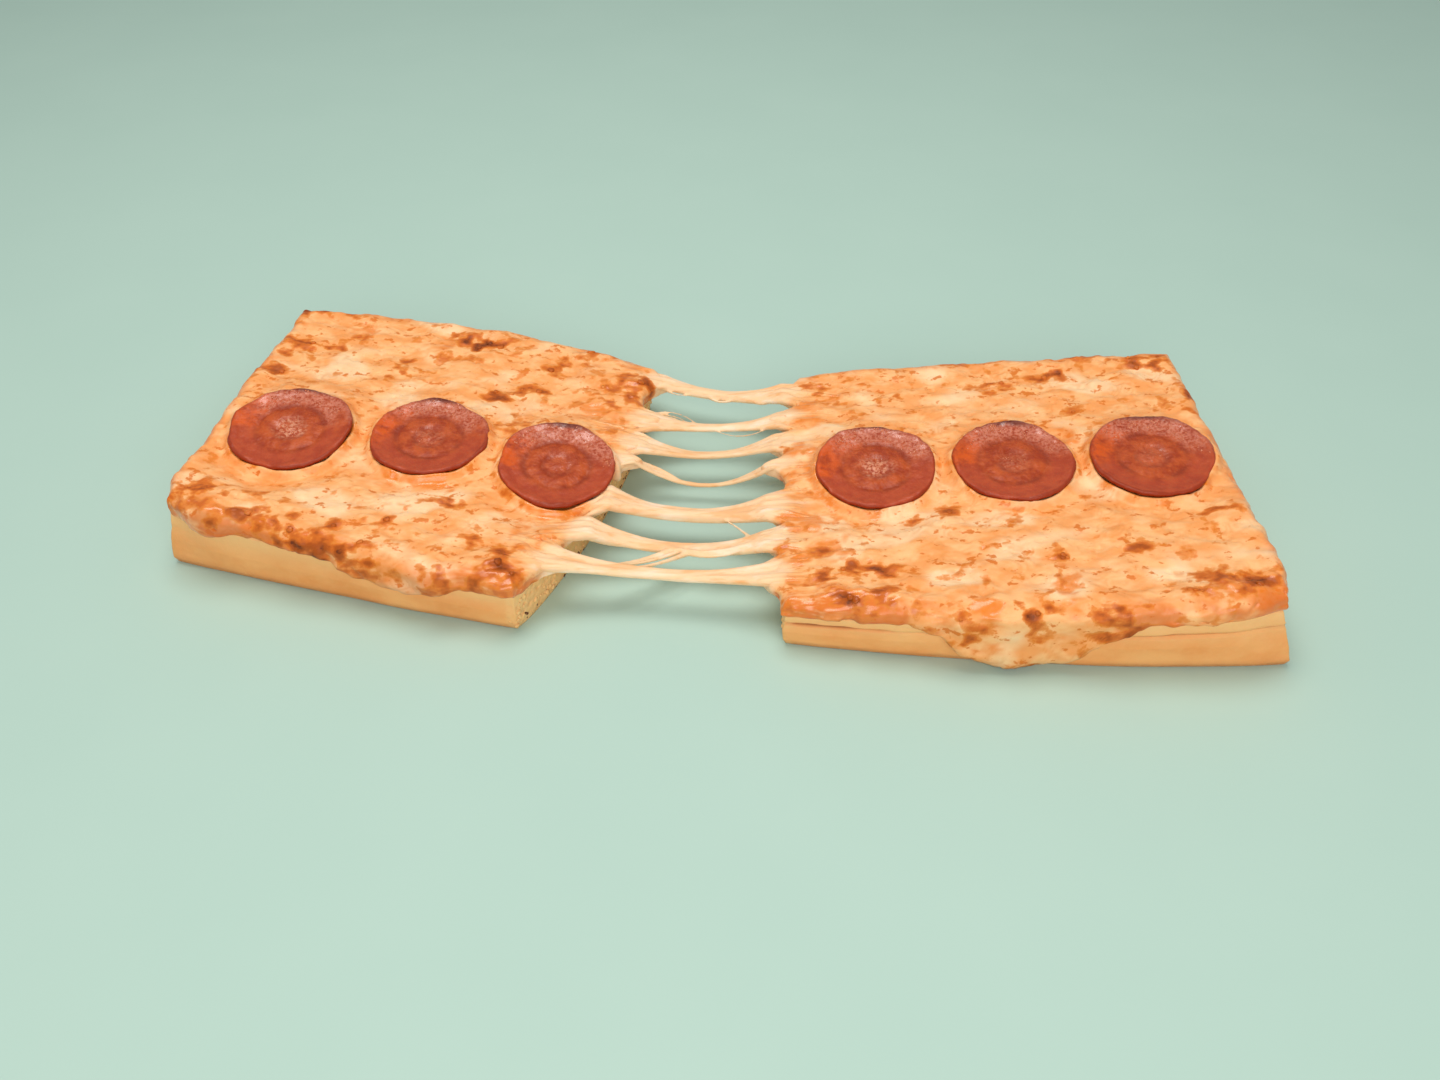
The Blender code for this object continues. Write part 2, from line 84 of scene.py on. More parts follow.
# Each place where the crease stays open: its middle along X, its reach and how open it is
CREASE_OPEN = ((36.0, 22.0, 1.0), (126.0, 14.0, 0.7))
TORN_INSET_SHARE = 0.25
FLARE_START = 0.6
SAUCE_THICKNESS = 1.2
SAUCE_INSET = 0.5
SAUCE_EDGE = 0.6
CHEESE_FLOOR = GAP + SAUCE_THICKNESS + GAP
CHEESE_OUTER = 4.4
CHEESE_TORN = 3.0
EDGE_ROLL = 4.0
TORN_ROLL = 2.4
EDGE_SWELL = 0.9
SWELL_MIDDLE = 5.0
SWELL_WIDTH = 4.0
OVERHANG = 1.2
OVERHANG_FADE = 4
DRIP_REACH = 1.4
DRIP_START = 3.0
CORNER_TUCK = 3.5
TUCK_START = 0.72
BREAD_TUCK = 0.7
SKIRT = 0.3
TORN_SKIRT = -0.5
RIM_TUCK = 0.5
RIM_INSET = 3.0
RIM_DROP = 1.2
HIDDEN_DEPTH = 6.0
DRIP_CLEARANCE = 1.6
DRIP_SQUARENESS = 3.2
SEAT_DEPTH = 0.2
SEAT_FLAT = 20.5
SEAT_BLEND = 33.0
ROOT_REACH = 6.0
ROOT_RISE = 1.5
OUTLINE_SPAN = 60.0
PEPPERONI_RADIUS = 19.0
PEPPERONI_PROFILE = (
    (0.0, 2.0),
    (3.4, 1.6),
    (6.6, 2.2),
    (10.0, 2.0),
    (14.6, 2.3),
    (17.6, 3.0),
    (18.7, 2.9),
    (19.0, 2.3),
    (18.0, 1.2),
    (13.0, 0.1),
    (0.0, 0.0),
)
OUTER_RING = 10.4
INNER_RING = 4.6
# Turn of the back rim, where the painted highlight and the oil beads lie
BACK_TURN = math.radians(80)
GLOW_TURN = math.radians(155)
# Turn of the back edge that char and painted shadow darken on each round
CHAR_AND_SHADOW_TURN = math.radians(85)
OUTLINE_WOBBLE = 0.07
RIM_WOBBLE = 0.5
WOBBLE_LOBES = 1.7

# The torn edge of the cheese is drawn out to a point where each string leaves it
LIP_REACH = 9.5
LIP_WIDTH = 2.2
LIP_PER_RADIUS = 1.1
LIP_START = 0.82

# How finely the pieces are drawn
CAP_CELLS = 262
CAP_EASE = 1.25
WALL_RINGS = 14
BREAD_SIDE_STEPS = 190
SAUCE_SIDE_STEPS = 120
PEPPERONI_SIDES = 200
PEPPERONI_RINGS = 90
STRAND_POINTS = 72
STRAND_SIDES = 8
STRAND_DETAIL = 0.40
THINNEST = 0.32

# Scattered lumps: how many to a square metre, their largest radius, how flat they are, and the seed
BLISTERS = {"Number": 5e4, "Size": 1.5 * MM, "Flatness": 0.4, "Seed": 3}
CRUMBS = {"Number": 1.1e5, "Size": 0.9 * MM, "Flatness": 0.6, "Seed": 5}
CHAR = {"Number": 2e5, "Size": 0.6 * MM, "Flatness": 0.5, "Seed": 7}
BEADS = {"Number": 1.2e6, "Size": 0.38 * MM, "Flatness": 0.55}

# The camera and the lights, in metres, degrees and watts
CAMERA_PLACE = (0.00364, -0.32579, 0.2645)
CAMERA_TILT = 49
SENSOR_WIDTH = 36.0
FOCAL_LENGTH = 31.125
LIGHTS = (
    ("overhead", (-0.1, 0.1, 0.9), (0.6, 0.4), 4.6, (1.0, 0.96, 0.92)),
    ("front", (0.1, -0.8, 0.5), (0.8, 0.5), 4.2, (1.0, 0.96, 0.93)),
)
SKY_COLOUR = (0.9, 0.95, 0.93, 1)
SKY_STRENGTH = 0.4
FLOOR_HALF = 4000.0


@dataclass(frozen=True)
class Wave:
    """Smooth noise: its height, the distance between its bumps, and the seed that picks its pattern."""

    height: float
    size: float
    seed: float


@dataclass(frozen=True)
class Grain:
    """Noise on a surface: its height, the size of its bumps along the pull and across it, and its seed."""

    height: float
    along: float
    across: float
    seed: float
    octaves: int = 0

    def at(self, x, y, z):
        noise_here = noise_at(x / self.along, y / self.across, z / self.across + self.seed, self.octaves)
        return self.height * noise_here


BREAD_WAVE = Wave(0.35, 22.0, 3.0)
SAUCE_WAVE = Wave(0.4, 9.0, 8.0)
EDGE_WAVES = (Wave(0.9, 16.0, 5.0), Wave(0.5, 7.0, 6.0))
SKIRT_WAVE = Wave(0.5, 9.0, 7.0)
CHEESE_LUMPS = (Wave(0.75, 15.0, 1.0), Wave(0.35, 6.5, 2.0))

# What places the colours in the cheese
DRIFT = Grain(4.0, 21.0, 21.0, 40.0)
WANDER_X = Grain(3.0, 5.5, 5.5, 81.0)
WANDER_Y = Grain(2.6, 5.5, 5.5, 91.0)
STREAK = Grain(1.0, 6.0, 4.6, 11.0, 4)
CLOUD = Grain(1.0, 19.0, 14.0, 23.0)
CREAMY = Grain(0.7, 13.0, 9.0, 51.0)
SLICK = Grain(0.6, 5.5, 4.0, 71.0, 3)
STRETCH_REACH = 13.0
STRETCH_BETWEEN = 0.1
OILY_REACH = 30.0
PULL_REACH = 34.0
ROUND_OIL_REACH = 2.4

# The fine relief of the cheese
RUNS = Grain(0.22, 9.0, 5.5, 5.0)
HEAPS = Grain(0.4, 12.0, 9.0, 55.0)
LUMPS = Grain(0.3, 6.5, 5.2, 15.0)
KNOBS = Grain(0.12, 3.4, 2.8, 25.0)
PITS = Grain(1.0, 3.0, 2.2, 35.0)
RIDGES = Grain(0.4, 26.0, 1.9, 45.0)
PIT_DEPTH = 0.4
BROWN_BLISTER = 0.4
SOFT_BLISTER = 0.2
FRONT_REACH = 9.0
CURD_STEPS = (-0.42, -0.08, 0.26, 0.6)
CURD_HEIGHT = 0.24
CURD_SLOPE = 0.13
CURD_SINK = 0.5
ROUND_HUG = 2.3
WALL_BELLY = 0.35
DRIP_BELLY = 0.08


@dataclass(frozen=True)
class Half:
    """One half of the slice. Corners go front left, front right, back right, back left.

    The flare is how much further out the bread's foot reaches than its top at the outer end.
    The crease is how far the bread's crease is pressed in.
    """

    name: str
    corners: tuple
    torn_sign: int
    front_bulge: float
    back_bulge: float
    torn_bulge: float
    outer_height: float
    torn_height: float
    drips: tuple
    pepperoni: tuple
    mounds: tuple
    flare: float
    crease: float


@dataclass(frozen=True)
class Mound:
    """A heap in the cheese: its middle, its radius and its height."""

    x: float
    y: float
    radius: float
    height: float


@dataclass(frozen=True)
class Drip:
    """A run of cheese down the front face: its middle and half width along X, and its depth."""

    x: float
    half_width: float
    depth: float


@dataclass(frozen=True)
class Round:
    """A pepperoni round: its centre, its tilts in degrees, and how far its middle glints."""

    x: float
    y: float
    forward_tilt: float
    right_tilt: float
    glint: float


@dataclass(frozen=True)
class CheeseString:
    """A string of cheese, and how it is drawn as a bundle of strands that fan out over each half."""

    left_y: float
    right_y: float
    sag: float
    radius: float
    strands: int
    spread: float
    left_fan: float
    right_fan: float
    left_run: float
    right_run: float
    left_lean: float
    right_lean: float


@dataclass(frozen=True)
class Wisp:
    """A thread between two strings: where it leaves and ends, its radii, its sag and its bow to the back."""

    start: int
    start_share: float
    end: int
    end_share: float
    start_radius: float
    end_radius: float
    sag: float
    side: float


@dataclass(frozen=True)
class Patch:
    """A browned, pale or oily place in the cheese: its middle, half length, half width and strength."""

    x: float
    y: float
    long: float
    wide: float
    strength: float


def patches(*rows):
    return [Patch(*row) for row in rows]


LEFT = Half(
    name="left",
    corners=((-166.5, -33.5), (-55.0, -64.0), (-19.5, 53.5), (-150.0, 79.5)),
    torn_sign=1,
    front_bulge=0.5,
    back_bulge=7.5,
    torn_bulge=6.0,
    outer_height=20.0,
    torn_height=13.0,
    drips=(Drip(-93.0, 17.0, 5.5), Drip(-155.0, 12.0, 2.4), Drip(-70.0, 9.0, 0.6)),
    pepperoni=(
        Round(-134.9, 3.7, 7.5, 3.0, 1.0),
        Round(-90.2, 3.2, 3.0, 3.5, 0.25),
        Round(-47.6, -8.0, 6.0, 5.5, 0.0),
    ),
    mounds=(
        Mound(-34.0, 46.0, 15.0, 1.8),
        Mound(-68.0, 60.0, 18.0, 1.4),
        Mound(-152.0, -25.0, 12.0, 0.8),
        Mound(-62.0, -58.0, 9.0, 0.9),
    ),
    flare=2.0,
    crease=-0.6,
)
RIGHT = Half(
    name="right",
    corners=((23.0, -69.5), (166.0, -79.0), (163.0, 48.0), (34.0, 47.0)),
    torn_sign=-1,
    front_bulge=3.0,
    back_bulge=1.0,
    torn_bulge=1.5,
    outer_height=21.0,
    torn_height=13.0,
    drips=(Drip(92.0, 23.0, 15.0), Drip(52.0, 9.0, 0.4), Drip(143.0, 12.0, 0.4)),
    pepperoni=(
        Round(54.7, -10.5, 5.5, -3.0, 1.0),
        Round(98.0, -11.6, 2.5, -3.8, 0.25),
        Round(141.2, -12.6, 3.0, -3.4, 0.1),
    ),
    mounds=(Mound(44.0, -64.0, 13.0, 0.9), Mound(60.0, 44.0, 14.0, 1.0), Mound(150.0, -70.0, 14.0, 0.7)),
    flare=4.5,
    crease=0.3,
)
HALVES = (LEFT, RIGHT)
STRINGS = (
    CheeseString(46.5, 37.5, 3.1, 1.9, 6, 1.1, 3.5, 8.0, 8.0, 24.0, 0.0, -9.0),
    CheeseString(23.5, 22.5, 3.1, 1.4, 5, 0.7, 9.0, 7.0, 26.0, 20.0, 0.0, 0.0),
    CheeseString(10.0, 9.5, 5.3, 1.5, 5, 0.8, 8.0, 6.0, 26.0, 18.0, 0.0, -2.0),
    CheeseString(1.0, -2.5, 9.6, 1.0, 3, 0.15, 3.4, 4.2, 10.0, 16.0, 0.0, 0.0),
    CheeseString(-19.6, -24.5, 4.7, 2.2, 7, 1.4, 7.0, 8.0, 10.0, 20.0, 0.0, 0.0),
    CheeseString(-34.0, -40.0, 5.8, 1.7, 6, 1.1, 7.0, 6.0, 26.0, 22.0, 0.0, 0.0),
    CheeseString(-49.8, -55.3, 2.7, 1.8, 6, 0.9, 8.0, 7.0, 28.0, 22.0, 5.0, 3.0),
)
WISPS = (
    Wisp(0, 0.34, 0, 0.62, 1.0, 0.9, 0.6, -3.4),
    Wisp(0, 0.70, 0, 0.96, 0.9, 1.0, 0.8, -3.6),
    Wisp(0, -0.08, 0, 0.30, 0.9, 0.35, 0.5, -3.6),
    Wisp(1, -0.10, 1, 0.38, 1.0, 0.3, -0.4, 6.0),
    Wisp(1, -0.06, 1, 0.28, 0.8, 0.3, -0.2, 3.6),
    Wisp(1, -0.06, 1, 0.32, 0.6, 0.3, 0.4, 5.0),
    Wisp(1, 0.45, 1, 1.02, 0.3, 0.55, 1.4, -5.2),
    Wisp(2, 0.60, 2, 1.02, 0.8, 1.0, 0.4, -1.8),
    Wisp(3, -0.10, 3, 0.34, 1.0, 0.6, -0.6, 2.2),
    Wisp(4, 0.66, 5, 0.95, 0.6, 0.9, 0.2, 1.5),
    Wisp(5, -0.16, 5, 0.34, 0.7, 0.9, 0.9, -3.0),
    Wisp(6, -0.02, 5, 0.50, 0.9, 1.3, 0.6, -4.2),
    Wisp(6, 0.10, 5, 0.56, 0.7, 1.1, 0.4, -3.2),
    Wisp(6, 0.30, 5, 0.62, 1.0, 1.4, 0.2, -1.6),
    Wisp(5, 0.40, 5, 0.98, 1.0, 1.3, 0.2, -3.6),
    Wisp(5, 0.46, 5, 0.95, 1.0, 1.1, 0.2, -5.2),
    Wisp(6, 0.02, 6, 0.42, 0.9, 0.9, 0.6, 2.4),
    Wisp(6, -0.20, 6, 0.06, 1.0, 1.1, 0.6, -2.6),
)

BROWNED = patches(
    (-139, 57, 9, 4, 1.0), (-147, 51, 6, 3, 0.6), (-154, 38, 8, 5, 0.6), (-81, 62, 9, 5, 0.95),
    (-90, 68, 6, 3, 0.6), (-140, 78, 14, 3, 0.7), (-127, 66, 6, 4, 0.5), (-104, 47, 5, 4, 0.65),
    (-106, 40, 5, 3, 0.5), (-72, 30, 5, 3, 0.9), (-61, 34, 4, 3, 1.0), (-52, 50, 8, 4, 0.6),
    (-41, 58, 7, 4, 0.7), (-26, 41, 8, 9, 1.0), (-34, 30, 7, 6, 0.6), (-60, -24, 4, 3, 0.9),
    (-161, -4, 4, 3, 0.5), (-150, -30, 9, 5, 1.0), (-139, -37, 7, 3, 0.7), (-128, -41, 7, 3, 0.8),
    (-121, -46, 9, 4, 1.0), (-112, -51, 9, 4, 1.0), (-111, -43, 4, 3, 0.7), (-99, -52, 6, 4, 0.6),
    (-93, -41, 5, 3, 0.7), (-78, -28, 6, 2.5, 0.6), (-68, -44, 5, 3, 0.6), (-60, -49, 5, 3, 0.7),
    (-57, -58, 5, 3.5, 0.95), (-79, -60, 6, 4, 0.5), (-69, -60, 5, 3, 0.6), (-112, 18, 4, 3, 0.4),
    (-66, 12, 4, 3, 0.4), (-28, 14, 5, 4, 0.5), (-27, -2, 4, 5, 0.6), (42, -58, 14, 2.5, 1.0),
    (40, -70, 16, 4, 0.8), (153, -69, 10, 4, 1.0), (143, -73, 10, 3, 0.7), (93, -76, 4, 3, 1.0),
    (116, -79, 6, 4, 1.0), (75, -79, 3, 3, 0.7), (84, -50, 5, 2.5, 0.65), (103, -54, 4, 3, 0.65),
    (103, -67, 3, 5, 0.6), (130, -53, 5, 3, 0.65), (72, -33, 5, 3, 0.8), (152, -39, 5, 4, 0.6),
    (131, 50, 8, 3, 0.9), (152, 41, 8, 5, 0.8), (98, 32, 9, 3, 0.65), (118, 38, 8, 2.5, 0.9),
    (90, 48, 9, 2.5, 0.75), (63, 46, 5, 3, 0.8), (63, 28, 5, 2, 0.75), (149, 15, 4, 4, 0.5),
    (161, 21, 3, 7, 0.7), (123, 14, 6, 5, 0.45), (31, 25, 6, 3, 0.6), (36, 38, 7, 3, 0.6),
    (45, 31, 8, 3, 0.5), (25, 2, 4, 4, 0.5), (27, -35, 6, 3, 0.5), (21, -45, 6, 3, 0.5),
    (36, -48, 6, 2.5, 0.65), (86, -88, 5, 4, 0.5), (102, -90, 4, 3, 0.7),
)
# Pale cream places in the cheese. Some near the right half's front edge are painted highlights, not cream.
PALE = patches(
    (60, -41, 9, 6, 1.0), (39, -34, 7, 4, 1.0), (132, 30, 9, 4, 0.9), (92, -37, 10, 3, 1.0),
    (72, -63, 9, 3, 1.0), (132, -66, 9, 4, 1.0), (-91, -26, 10, 6, 0.8), (-128, 42, 9, 5, 0.8),
    (-57, -33, 9, 4, 0.7), (-104, 28, 9, 5, 0.6), (-83, 38, 10, 4, 0.6), (-91, -62, 8, 6, 0.35),
    (-120, -26, 9, 6, 0.8), (-34, -39, 7, 4, 0.6), (39, 12, 4, 3, 0.9), (90, 18, 13, 6, 0.6),
    (112, -30, 12, 5, 0.5), (90, -68, 8, 3, 0.6),
)
OILY = patches(
    (-88, -18, 12, 2.5, 0.9), (-25, -24, 5, 6, 0.8), (-24, -3, 5, 7, 0.8), (-55, -65, 6, 4, 0.9),
    (-125, 67, 5, 5, 0.7), (-38, 26, 4, 4, 0.8), (-150, -36, 10, 4, 0.6), (40, -72, 16, 5, 1.0),
    (155, -74, 12, 5, 1.0), (118, 1, 6, 4, 0.6), (25, 2, 4, 5, 1.0), (27, -35, 7, 5, 0.9),
    (15, -31, 5, 3, 0.8), (21, -45, 6, 3, 0.9), (36, -48, 6, 3, 0.7), (80, -76, 3, 6, 0.8),
    (104, -68, 3, 8, 0.9), (31, 25, 5, 3, 0.7), (86, -50, 5, 2, 0.7), (-92, 62, 6, 4, 0.6),
)


def in_metres(points):
    """Places on the slice, measured from the middle of the space that it takes up."""
    return (np.asarray(points, dtype=float) - CENTRE) * MM


def mix(low, high, share):
    return low + (high - low) * share


def smooth(low, high, value):
    """0 below low, 1 above high, and a smooth rise between."""
    share = np.clip((value - low) / (high - low), 0.0, 1.0)
    return share * share * (3 - 2 * share)


def bell(value, width):
    """1 where the value is 0, falling off on both sides over the width."""
    return np.exp(-((value / width) ** 2))


def noise_at(x, y, z, octaves=0):
    """Smooth noise from about -1 to 1 at each place. Octaves add finer copies of it."""
    x, y, z = np.broadcast_arrays(x, y, z)
    spots = zip(x.ravel().tolist(), y.ravel().tolist(), z.ravel().tolist())
    if octaves:
        values = [noise.fractal(spot, 1.0, 2.0, octaves) for spot in spots]
    else:
        values = [noise.noise(spot) for spot in spots]
    return np.array(values).reshape(x.shape)


def cells_at(x, y, z):
    """Distance from each place to the middle of its nearest cell."""
    spots = zip(x.ravel().tolist(), y.ravel().tolist(), z.ravel().tolist())
    return np.array([noise.voronoi(spot)[0][0] for spot in spots]).reshape(x.shape)


def ripple(wave, x, y, layer=0.0):
    """Height of the wave at each place. Another layer gives another pattern of the same kind."""
    return wave.height * noise_at(x / wave.size, y / wave.size, wave.seed + layer)


def outline_ripple(wave, a, b, layer=0.0):
    """Height of the wave at the points (a, b) of a half's plan."""
    return ripple(wave, OUTLINE_SPAN * a, OUTLINE_SPAN * b, layer)


def plan(half, a, b):
    """Where points of a square from -1 to 1 lie on the half's plan: a runs along X and b to the back."""
    front_left, front_right, back_right, back_left = half.corners
    rounded = 1 - CORNER_CUT * (abs(a) * abs(b)) ** CORNER_POWER
    right = (1 + a * rounded) / 2
    back = (1 + b * rounded) / 2
    x = mix(mix(front_left[0], front_right[0], right), mix(back_left[0], back_right[0], right), back)
    y = mix(mix(front_left[1], front_right[1], right), mix(back_left[1], back_right[1], right), back)
    y = y - half.front_bulge * (1 - a * a) * (1 - back)
    y = y + half.back_bulge * (1 - a * a) * back
    near_tear = right if half.torn_sign > 0 else 1 - right
    x = x + half.torn_sign * half.torn_bulge * (1 - b * b) * near_tear
    return x, y


def half_size(half):
    """Half the width and half the depth of a half's plan."""
    xs = [corner[0] for corner in half.corners]
    ys = [corner[1] for corner in half.corners]
    return (max(xs) - min(xs)) / 2, (max(ys) - min(ys)) / 2 * SKEW_NARROWING


def torn_share(half, x):
    """How far x lies from the outer end, at 0, to the torn end, at 1, taken at the middle of each end."""
    front_left, front_right, back_right, back_left = half.corners
    left = (front_left[0] + back_left[0]) / 2
    right = (front_right[0] + back_right[0]) / 2
    share = (x - left) / (right - left)
    return share if half.torn_sign > 0 else 1 - share


def bread_top(half, x):
    """Height of the bread's flat top, which slopes down to the torn end."""
    return mix(half.outer_height, half.torn_height, torn_share(half, x))


def on_torn_side(half, a, b):
    """1 at the middle of the torn side, 0 on the crusty sides."""
    return smooth(0.75, 0.97, half.torn_sign * a) * smooth(1.02, 0.9, abs(b))


def torn_edge_x(half, y):
    """X of the bread's torn edge at this y."""
    b = np.linspace(-1.0, 1.0, 200)
    edge_x, edge_y = plan(half, np.full_like(b, half.torn_sign), b)
    return np.interp(y, edge_y, edge_x)


def cheese_thickness(half, x):
    return mix(CHEESE_OUTER, CHEESE_TORN, np.clip(torn_share(half, x), 0.0, 1.0))


def seat_height(half, spot):
    """Height of the seat at a pepperoni round's centre."""
    return bread_top(half, spot.x) + CHEESE_FLOOR + cheese_thickness(half, spot.x) - SEAT_DEPTH


def seat_plane(half, spot, x, y):
    """Height of the tilted seat that a pepperoni round rests on."""
    forward = math.tan(math.radians(spot.forward_tilt))
    right = math.tan(math.radians(spot.right_tilt))
    return seat_height(half, spot) + forward * (y - spot.y) - right * (x - spot.x)


def cheese_level(half, x, y):
    """Height of the cheese's upper surface away from its edge, with soft lumps and pepperoni seats."""
    z = bread_top(half, x) + CHEESE_FLOOR + cheese_thickness(half, x)
    z = z + sum(ripple(wave, x, y) for wave in CHEESE_LUMPS)
    for mound in half.mounds:
        z = z + mound.height * bell(np.hypot(x - mound.x, y - mound.y), mound.radius)
    for spot in half.pepperoni:
        away = np.hypot(x - spot.x, y - spot.y)
        z = mix(seat_plane(half, spot, x, y) - GAP, z, smooth(SEAT_FLAT, SEAT_BLEND, away))
    return z


def string_lip(half, y):
    """From 0 to 1: how far the torn edge is drawn out into the root of a string at this y."""
    pull = np.zeros_like(y)
    for string in STRINGS:
        root = string.left_y if half.torn_sign > 0 else string.right_y
        width = LIP_WIDTH + LIP_PER_RADIUS * string.radius
        pull = np.maximum(pull, np.exp(-np.sqrt(((y - root) / width) ** 2 + 0.05) + 0.2))
    return pull


def drip_depth(half, x, b):
    """How far the cheese has run down the front face at this x."""
    depth = np.zeros_like(x)
    for drip in half.drips:
        off_middle = abs((x - drip.x) / drip.half_width)
        depth = np.maximum(depth, drip.depth * np.exp(-(off_middle ** DRIP_SQUARENESS)))
    return depth * smooth(-0.55, -0.85, b)


def corner_tuck(half, a, b):
    """How far the outer front corner is drawn in."""
    return CORNER_TUCK * smooth(TUCK_START, 1.0, -half.torn_sign * a) * smooth(TUCK_START, 1.0, -b)


def cheese_plan(half, a, b, overhang):
    """Plan position of the cheese, which reaches past the bread and is drawn out at the strings."""
    width, depth = half_size(half)
    crust = 1 - on_torn_side(half, a, b)
    reach = overhang * crust - corner_tuck(half, a, b)
    reach = reach + sum(outline_ripple(wave, a, b) for wave in EDGE_WAVES)
    near_edge = np.maximum(abs(a), abs(b)) ** OVERHANG_FADE
    x, y = plan(half, a * (1 + near_edge * reach / width), b * (1 + near_edge * reach / depth))
    y = y - near_edge * DRIP_REACH * smooth(0, DRIP_START, drip_depth(half, x, b))
    pull = string_lip(half, y) * LIP_REACH * smooth(LIP_START, 1.0, half.torn_sign * a) ** 2
    return x + half.torn_sign * pull, y


def edge_distance(half, a, b):
    """How far points of a half's plan lie from its edge."""
    width, depth = half_size(half)
    return np.minimum((1 - abs(a)) * width, (1 - abs(b)) * depth)


def cheese_top(half, a, b):
    """The cheese's upper surface, with its rolled and swollen edge."""
    x, y = cheese_plan(half, a, b, OVERHANG)
    torn = on_torn_side(half, a, b)
    from_edge = edge_distance(half, a, b)
    roll = mix(EDGE_ROLL, TORN_ROLL, torn)
    inside = np.clip(from_edge / EDGE_ROLL, 0.0, 1.0)
    fall = roll * (1 - np.sqrt(1 - (1 - inside) ** 2))
    swell = EDGE_SWELL * bell(from_edge - SWELL_MIDDLE, SWELL_WIDTH) * (1 - torn)
    return np.stack([x, y, cheese_level(half, x, y) + swell - fall], axis=-1)


def cheese_under(half, a, b):
    """Places below the cheese's edge: its rim, a ring inside the bread, and one well inside it."""
    edge_x, edge_y = cheese_plan(half, a, b, OVERHANG - RIM_TUCK)
    torn = on_torn_side(half, a, b)
    skirt = mix(SKIRT + outline_ripple(SKIRT_WAVE, a, b), TORN_SKIRT, torn)
    drip = drip_depth(half, edge_x, b)
    rim = np.maximum(DRIP_CLEARANCE, bread_top(half, edge_x) - skirt - drip)
    width, depth = half_size(half)
    places = [np.stack([edge_x, edge_y, rim], axis=-1)]
    for inset in (RIM_INSET, 3 * RIM_INSET):
        x, y = plan(half, a * (1 - inset / width), b * (1 - inset / depth))
        z = np.minimum(rim, bread_top(half, x) - RIM_DROP)
        if inset > RIM_INSET:
            z = np.full_like(x, half.torn_height - HIDDEN_DEPTH)
        places.append(np.stack([x, y, z], axis=-1))
    return places, drip


def new_piece(name, points, faces):
    """A smooth mesh object from points in the design's millimetres."""
    mesh = bpy.data.meshes.new(name)
    mesh.from_pydata(in_metres(points).tolist(), [], faces)
    mesh.shade_smooth()
    piece = bpy.data.objects.new(name, mesh)
    bpy.context.scene.collection.objects.link(piece)
    return piece


def places_of(piece):
    """The piece's points in the design's millimetres."""
    flat = np.empty(len(piece.data.vertices) * 3)
    piece.data.vertices.foreach_get("co", flat)
    return flat.reshape(-1, 3) / MM + CENTRE


def move_points(piece, places):
    """Sets the piece's points down at these places, but none outside the CAD solids' box."""
    low, high = (np.array(corner) / MM + CENTRE for corner in CAD_BOX)
    piece.data.vertices.foreach_set("co", in_metres(np.clip(places, low, high)).ravel())
    piece.data.update()


def raise_surface(piece, heights):
    """Moves each point of the piece outwards by its height."""
    flat = np.empty(len(piece.data.vertices) * 3)
    piece.data.vertex_normals.foreach_get("vector", flat)
    move_points(piece, places_of(piece) + flat.reshape(-1, 3) * heights[:, None])


def values_of(piece, name):
    """The numbers kept under this name on the piece's points."""
    values = np.empty(len(piece.data.vertices))
    piece.data.attributes[name].data.foreach_get("value", values)
    return values


def store(piece, **values):
    """Keeps numbers, or vectors, on the piece's points for its material to read."""
    for name, value in values.items():
        kind, field = ("FLOAT", "value") if value.ndim == 1 else ("FLOAT_VECTOR", "vector")
        attribute = piece.data.attributes.new(name, kind, "POINT")
        attribute.data.foreach_set(field, value.astype(np.float32).ravel())


def ring_faces(loops):
    """Quads between rings of point numbers, each above the one before and anticlockwise from above."""
    faces = []
    for lower, upper in zip(loops, loops[1:]):
        after = np.roll(lower, -1), np.roll(upper, -1)
        faces += np.stack([lower, after[0], after[1], upper], axis=1).tolist()
    return faces


def fan_faces(loop, middle):
    """Triangles that close a ring with one point, facing up where the ring is anticlockwise from above."""
    return np.stack([loop, np.roll(loop, -1), np.full_like(loop, middle)], axis=1).tolist()


def closed_rings(rings):
    """Points and faces of a closed solid through rings of as many points each, from the lowest up."""
    count = len(rings[0])
    loops = [np.arange(count) + number * count for number in range(len(rings))]
    middles = [rings[0].mean(axis=0), rings[-1].mean(axis=0)]
    points = np.concatenate([*rings, middles])
    faces = ring_faces(loops)
    faces += fan_faces(loops[0][::-1], len(points) - 2)
    faces += fan_faces(loops[-1], len(points) - 1)
    return points, faces


def outline(steps):
    """Points (a, b) round the square, anticlockwise and a little closer together near its corners."""
    share = np.arange(steps) / steps
    side = mix(2 * share - 1, np.sin(math.pi / 2 * (2 * share - 1)), 0.5)
    one = np.ones(steps)
    a = np.concatenate([side, one, -side, -one])
    b = np.concatenate([-one, side, one, -side])
    return a, b


def patch_strength(patches, x, y):
    """How strongly the listed patches show at each place."""
    strength = np.zeros_like(x)
    for patch in patches:
        here = patch.strength * bell(x - patch.x, 1.2 * patch.long) * bell(y - patch.y, 1.2 * patch.wide)
        strength = np.maximum(strength, here)
    return strength


def string_nearness(half, y):
    """1 in line with each string where it meets the half, falling to 0 between the strings."""
    near = np.zeros_like(y)
    for string in STRINGS:
        root = string.left_y if half.torn_sign > 0 else string.right_y
        near = np.maximum(near, bell(y - root, 1.5 + 1.3 * string.radius))
    return near


def stretch_at(x, y, reach, between=1.0):
    """1 in the gap, falling to 0 this far in from each torn edge, or a share of that between the strings."""
    shares = []
    for half in HALVES:
        inwards = half.torn_sign * (torn_edge_x(half, y) - x) + 2.5 * noise_at(x / 5, y / 3, 31.0)
        limit = reach * mix(between, 1.0, string_nearness(half, y))
        shares.append(smooth(limit, -6.0, inwards))
    return np.minimum(*shares)


def round_seed(number, spot):
    """The seed that makes each pepperoni round uneven in its own way."""
    return 10.0 * number + spot.x


def round_wobble(seed, turn):
    """How far a round's edge is off its circle in each direction."""
    return noise_at(np.cos(turn) * WOBBLE_LOBES, np.sin(turn) * WOBBLE_LOBES, seed)


